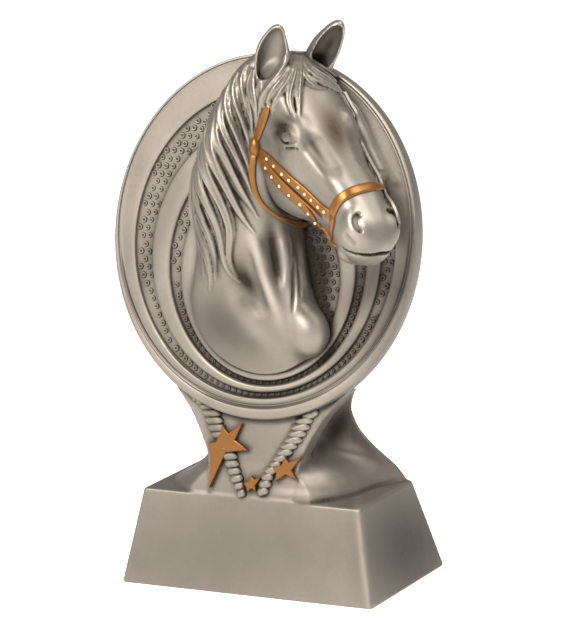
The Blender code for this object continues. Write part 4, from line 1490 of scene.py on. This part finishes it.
def ropes(finish):
    points, facing, along, grow = [], [], [], []
    for slant, path in zip(ROPE_SLANTS, ROPE_PATHS):
        for x, y, half in flowing(path, ROPE_PITCH):
            p = PANEL_FACE.into(seen_at(x, y, PANEL_FACE, 2, 0.3))
            half /= ROPE_PIXELS
            points.append(PANEL_FACE.out((p[0], p[1], 0.15)))
            facing.append(DISH_N)
            along.append(np.array((1.0, 0.0, 0.0)) + DISH_V * slant)
            grow.append((half, ROPE_THICKNESS, ROPE_HEIGHT * (0.75 + 0.16 * half)))
    return repeated("ropes", strand_shape(), points, (facing, along, grow), finish, 1.0, 0.06, 5)


def halter_studs(skin, finish):
    points, normals = [], []
    for x, y in STUDS:
        p, n = lay(skin, [(x - 1, y - 1), (x, y), (x + 1, y + 1)], 1.0, rounds=0)
        points.append(p[1])
        normals.append(n[1])
    points, normals = np.array(points), np.array(normals)
    values = normals, np.cross(normals, np.tile(RIGHT, (len(points), 1))), np.ones((len(points), 3))
    points = points + normals * (STRAP_RAISE - 0.05)
    return repeated("halter_studs", turned(STUD_SHAPE, 12), points, values, finish, 0.95, 0.06, 9)


# ------------------------------------------------------------------ finishes

# Paints: light for rubbed ridges and painted highlights, plain, and dark for patina and painted shade.
PEWTER = (0.35, 0.308, 0.262, 1.0), (0.115, 0.100, 0.083, 1.0), (0.018, 0.013, 0.0075, 1.0)
UMBER = (0.050, 0.030, 0.012, 1.0)
GOLD = (0.26, 0.120, 0.036, 1.0), (0.135, 0.056, 0.015, 1.0), (0.06, 0.022, 0.006, 1.0)
BRIGHT = (0.70, 0.52, 0.30, 1.0), (0.55, 0.36, 0.17, 1.0), (0.2, 0.1, 0.03, 1.0)
CLOUD_SCALE, SPECK_SCALE, GRAIN_SCALE = 90.0, 900.0, 2600.0


def metal(name, colours, metallic, rough, stain=None):
    """Metallic paint: rubbed bright on ridges and lightened by painted highlights, darkened by patina and
    painted shade, with perhaps brown stains.
    """
    light, mid, dark = colours
    material = bpy.data.materials.new(name)
    material.use_nodes = True
    t = Nodes(material.node_tree)
    where = t.add("ShaderNodeTexCoord", {}, out="Object")
    stored_patina_and_shade, ridge = t.stored("patina"), t.stored("ridge")
    cloud = t.noise(where, CLOUD_SCALE, 3.0)
    speck = t.noise(where, SPECK_SCALE, 2.0)
    grain = t.noise(where, GRAIN_SCALE, 2.0)
    # dark patina and painted shade, with cloudy noise
    patina_and_shade_cover = (stored_patina_and_shade + (cloud - 0.5) * 0.16 + (speck - 0.5) * 0.10 * (stored_patina_and_shade + 0.35)).clipped()
    # rubbed bright ridges and painted highlights, with cloudy noise
    bright = (0.36 + (cloud - 0.5) * 0.45 + ridge * 0.6 + (speck - 0.5) * 0.18).clipped()
    colour = t.mix(patina_and_shade_cover, t.mix(bright, mid, light), dark)
    matt = patina_and_shade_cover
    if stain is not None:
        cover = (t.stored("stain") * (0.95 + (speck - 0.5) * 0.3)).clipped()
        colour = t.mix(cover, colour, stain)
        matt = (patina_and_shade_cover + cover * 1.4).clipped()
    height = (speck - 0.5) * 0.5 + (grain - 0.5) * 0.35
    shader = t.add(
        "ShaderNodeBsdfPrincipled",
        {},
        Base_Color=colour,
        Metallic=(metallic - matt * 0.55).clipped(),
        Roughness=(rough + matt * 0.24 + (cloud - 0.5) * 0.10 + (speck - 0.5) * 0.08).clipped(),
        Normal=t.add("ShaderNodeBump", {}, Strength=0.22, Distance=0.0002, Height=height),
        Specular_IOR_Level=0.2,
    )
    t.add("ShaderNodeOutputMaterial", {}, shader)
    return material


def floor_finish():
    material = bpy.data.materials.new("pale_floor")
    material.use_nodes = True
    t = Nodes(material.node_tree)
    shader = t.add(
        "ShaderNodeBsdfPrincipled",
        {},
        Base_Color=(0.95, 0.95, 0.95, 1.0),
        Roughness=0.8,
        Emission_Color=(1.0, 1.0, 1.0, 1.0),
        Emission_Strength=0.45,
    )
    t.add("ShaderNodeOutputMaterial", {}, shader)
    return material


# ------------------------------------------------------------------ patina, painted shade and painted highlights


def mesh_values(items, key, width, kind):
    values = np.empty(len(items) * width, kind)
    items.foreach_get(key, values)
    return values.reshape(-1, width)


class Surroundings:
    """A coarse field of distances round every piece, to tell recesses, where shade is painted, from open
    faces.
    """

    def __init__(self, objects, step, reach):
        points, triangles = [], []
        shift = 0
        for ob in objects:
            mesh = ob.data
            mesh.calc_loop_triangles()
            points.append(mesh_values(mesh.vertices, "co", 3, np.float32) / MM / step)
            triangles.append(mesh_values(mesh.loop_triangles, "vertices", 3, np.int32) + shift)
            shift += len(mesh.vertices)
        self.step = step
        grid = openvdb.FloatGrid.createLevelSetFromPolygons(
            np.vstack(points).astype(np.float32),
            triangles=np.vstack(triangles).astype(np.uint32),
            transform=openvdb.createLinearTransform(voxelSize=1.0),
            halfWidth=reach / step,
        )
        low, high = grid.evalActiveVoxelBoundingBox()
        self.low = np.array(low)
        self.values = np.zeros(np.array(high) - np.array(low) + 1, np.float32)
        grid.copyToArray(self.values, ijk=tuple(low))
        self.values *= step

    def at(self, p):
        """Distances to the nearest surface at points."""
        q = np.clip(p / self.step - self.low, 0, np.array(self.values.shape) - 1.001)
        i = q.astype(int)
        f = q - i
        total = 0.0
        for corner in product((0, 1), repeat=3):
            share = 1.0
            for k in range(3):
                share = share * (f[:, k] if corner[k] else 1 - f[:, k])
            total = total + share * self.values[tuple((i + corner).T)]
        return total


def spread(values, edges, rounds):
    """Values averaged over neighbouring points."""
    count = np.bincount(edges.ravel(), minlength=len(values)) + 1.0
    for _ in range(rounds):
        total = values.copy()
        total += np.bincount(edges[:, 0], values[edges[:, 1]], len(values))
        total += np.bincount(edges[:, 1], values[edges[:, 0]], len(values))
        values = total / count
    return values


# Patches as seen in the picture: middle, half length, half width, turn in degrees, amount. Dark ones are
# painted shade with some patina, brown ones are stains, bright ones are painted highlights and a rubbed edge.
SHADE_AND_PATINA_PATCHES = (
    (337, 427, 36, 16, -58, 1.0),
    (322, 446, 26, 13, -60, 0.8),
    (352, 425, 22, 9, 75, 0.6),
    (372, 447, 28, 12, 50, 0.55),
    (245, 405, 80, 12, 8, 0.15),
    (286, 134, 9, 8, 0, 0.7),
    (302, 503, 14, 4, 8, 0.7),
    (273, 250, 38, 7, 83, 0.9),
    (246, 280, 22, 9, 60, 1.0),
    (255, 306, 18, 6, 60, 0.4),
    (216, 268, 14, 5, 70, 0.5),
    (321, 274, 50, 15, 84, 1.0),
    (364, 292, 42, 22, -60, 0.65),
    (350, 345, 40, 14, -55, 0.35),
    (385, 318, 60, 18, -68, 0.55),
    (282, 127, 14, 10, 30, 1.0),
    (279, 133, 8, 10, 0, 1.0),
    (290, 119, 12, 5, 30, 0.7),
    (266, 140, 14, 7, 60, 0.45),
    (318, 60, 12, 8, -35, 0.8),
    (270, 72, 9, 6, -60, 0.6),
    (329, 45, 12, 5, -55, 0.6),
    (275, 190, 40, 18, 50, 0.32),
    (262, 175, 40, 16, 60, 0.25),
    (315, 148, 24, 4, 58, 0.7),
    (325, 175, 30, 4, 60, 0.6),
    (160, 230, 90, 12, -72, 0.28),
    (200, 240, 60, 6, 85, 0.45),
    (214, 432, 36, 8, 75, 0.4),
    (235, 445, 60, 40, 0, 0.30),
    (230, 545, 190, 70, 0, 0.38),
    (405, 545, 60, 70, 0, 0.80),
    (222, 324, 46, 34, 30, 0.62),
)
BROWN_PATCHES = (
    (335, 130, 25, 12, 68, 1.0),
    (396, 185, 8, 4, 0, 0.8),
    (136, 128, 26, 9, -50, 0.40),
    (128, 250, 60, 8, -85, 0.22),
    (318, 482, 26, 10, 0, 0.25),
    (240, 345, 40, 14, 30, 0.10),
    (120, 300, 30, 6, 70, 0.35),
)
# Painted highlights, with a rubbed bright edge on the plinth.
HIGHLIGHT_AND_RUB_PATCHES = (
    (314, 478, 16, 8, -20, 1.4),
    (297, 492, 22, 4, 3, 1.2),
    (254, 250, 26, 6, 76, 0.8),
    (269, 292, 34, 5, 70, 0.9),
    (287, 275, 40, 3, 86, 0.8),
    (294, 290, 36, 4, 84, 0.6),
    (317, 333, 10, 8, 60, 1.0),
    (388, 250, 12, 9, 0, 0.6),
    (250, 324, 32, 8, 48, 0.7),
    (310, 125, 16, 5, 62, 0.6),
    (330, 165, 36, 6, 62, 0.6),
    (362, 222, 26, 20, 0, 0.6),
    (363, 556, 50, 4, 84, 1.3),
)


def pictured(points):
    """Where the camera sees points, in pixels of the picture."""
    q = points - EYE
    away = q @ AHEAD
    return np.stack((PHOTO[0] / 2 + FOCAL * (q @ RIGHT) / away, PHOTO[1] / 2 - FOCAL * (q @ TOP) / away), 1)


def patched(seen, facing, patches):
    """How strongly a list of soft patches covers points."""
    total = np.zeros(len(seen))
    for x, y, long, wide, turn, amount in patches:
        c, s = math.cos(math.radians(turn)), math.sin(math.radians(turn))
        p, q = seen[:, 0] - x, seen[:, 1] - y
        r = ((p * c + q * s) / long) ** 2 + ((q * c - p * s) / wide) ** 2
        total = np.maximum(total, amount * np.exp(-1.1 * r))
    return total * np.clip(facing * 4.0 + 0.6, 0, 1)


# How far out a point is looked round from, and how much that counts, for the painted shade in recesses.
OUTLOOKS = ((0.8, 0.25), (1.6, 0.35), (3.2, 0.40))


def age(ob, around, strength):
    """Writes where dark patina and painted shade sit, where ridges are rubbed bright and highlights are
    painted, and where stains are.
    """
    mesh = ob.data
    points = mesh_values(mesh.vertices, "co", 3, np.float32) / MM
    normals = mesh_values(mesh.vertices, "normal", 3, np.float32)
    edges = mesh_values(mesh.edges, "vertices", 2, np.int32)
    a, b = edges[:, 0], edges[:, 1]
    e = points[b] - points[a]
    length = np.linalg.norm(e, axis=1) + 1e-6
    # bend: above zero in hollows, below zero on ridges
    from_a = np.einsum("ij,ij->i", e, normals[a]) / length**2
    from_b = -np.einsum("ij,ij->i", e, normals[b]) / length**2
    total = np.bincount(a, from_a, len(points)) + np.bincount(b, from_b, len(points))
    count = np.bincount(edges.ravel(), minlength=len(points)) + 1e-6
    bend = spread(total / count, edges, 2)
    wide = spread(bend, edges, 10)
    # painted shade: how closely the surroundings close in round each point
    hidden = 0.0
    for d, w in OUTLOOKS:
        hidden = hidden + w * np.clip(1.0 - around.at(points + normals * d) / d, 0.0, 1.0)
    hidden = spread(hidden, edges, 2)
    cavity = np.clip(bend * 0.75, 0, 1) + np.clip(wide * 0.9, 0, 0.6)
    # dark patina in creases, plus painted shade where the surroundings close in
    patina = np.clip((cavity * 0.85 + np.clip(hidden - 0.16, 0, 1) * 1.15) * strength, 0, 1)
    # rubbed bright on ridges
    ridge = np.clip(-bend * 0.5 - wide * 0.4, 0, 1)
    seen, facing = pictured(points), -(normals @ AHEAD)
    # painted shade, with some patina, from the dark patches
    patina = np.clip(patina + patched(seen, facing, SHADE_AND_PATINA_PATCHES) * min(1.0, strength), 0, 1)
    # painted highlights, and the rubbed edge, from the bright patches
    ridge = np.clip(ridge + patched(seen, facing, HIGHLIGHT_AND_RUB_PATCHES), 0, 1.6)
    stain = patched(seen, facing, BROWN_PATCHES)
    for name, values in (("patina", patina), ("ridge", ridge), ("stain", stain)):
        layer = mesh.attributes.new(name, "FLOAT", "POINT")
        layer.data.foreach_set("value", values.astype(np.float32))


# ------------------------------------------------------------------ making


def light(name, where, towards, size, power, colour=(1.0, 1.0, 1.0)):
    data = bpy.data.lights.new(name, "AREA")
    data.shape = "RECTANGLE"
    data.size, data.size_y = size
    data.energy = power
    data.color = colour
    ob = linked(bpy.data.objects.new(name, data))
    ob.location = where
    ob.rotation_euler = (Vector(where) - Vector(towards)).to_track_quat("Z", "Y").to_euler()


def studio():
    """A white surround for the camera, a dimmer one for the trophy, and three soft lights."""
    world = bpy.data.worlds.new("studio")
    bpy.context.scene.world = world
    world.use_nodes = True
    t = Nodes(world.node_tree)
    fill = t.add("ShaderNodeBackground", {}, (1.0, 0.99, 0.97, 1), 0.45)
    seen = t.add("ShaderNodeBackground", {}, (1, 1, 1, 1), 1.0)
    by_camera = t.add("ShaderNodeLightPath", {}, out="Is Camera Ray")
    t.add("ShaderNodeOutputWorld", {}, t.add("ShaderNodeMixShader", {}, by_camera, fill, seen))
    bpy.context.scene.view_settings.view_transform = "Standard"
    middle = (0.0, 0.0, 0.075)
    light("key", (-0.15, -0.75, 0.70), middle, (0.40, 0.40), 16.0, (1.0, 0.98, 0.95))
    light("front", (-0.45, -1.0, 0.15), middle, (0.6, 0.4), 1.6)
    light("side", (0.55, 0.05, 0.85), middle, (0.45, 0.45), 7.0)


def make_floor(half=3.0):
    mesh = bpy.data.meshes.new("floor")
    corners = [(-half, -half, 0), (half, -half, 0), (half, half, 0), (-half, half, 0)]
    mesh.from_pydata(corners, [], [(0, 1, 2, 3)])
    mesh.materials.append(floor_finish())
    ob = linked(bpy.data.objects.new("floor", mesh))


make_camera()
pewter = metal("antique_pewter", PEWTER, 0.85, 0.45, UMBER)
gold = metal("bronze_paint", GOLD, 0.75, 0.36)
stud_paint = metal("bright_paint", BRIGHT, 0.6, 0.3)

head = horse_head().surface()
neck = neck_and_mane(head).surface()
stem = plinth_and_stem().surface(4)
horse_skin = skin_of(head, neck)

HORSE_TRIANGLES, STEM_TRIANGLES = 190000, 120000  # at most
AIR_STEP, AIR_REACH = 0.7, 4.2  # of the field that tells recesses from open faces

# The pieces and how strongly patina and painted shade sit on each.
pieces = (
    (thinned(piece("horse_head", *head, pewter), HORSE_TRIANGLES), 1.0),
    (thinned(piece("neck_and_mane", *neck, pewter), HORSE_TRIANGLES), 1.0),
    (thinned(piece("plinth_and_stem", *stem, pewter), STEM_TRIANGLES), 1.0),
    (piece("dish", *dish_rings(), pewter), 1.1),
    (dish_dots(pewter), 1.6),
    (ropes(pewter), 1.4),
    (piece("stars", *stars(), gold, smooth=False), 0.1),
    (piece("halter", *halter(horse_skin), gold), 0.6),
    (halter_studs(horse_skin, stud_paint), 0.3),
)
around = Surroundings([ob for ob, _ in pieces], AIR_STEP, AIR_REACH)
for ob, strength in pieces:
    age(ob, around, strength)
for ob, _ in pieces:
    belongs(ob)

make_floor()
studio()
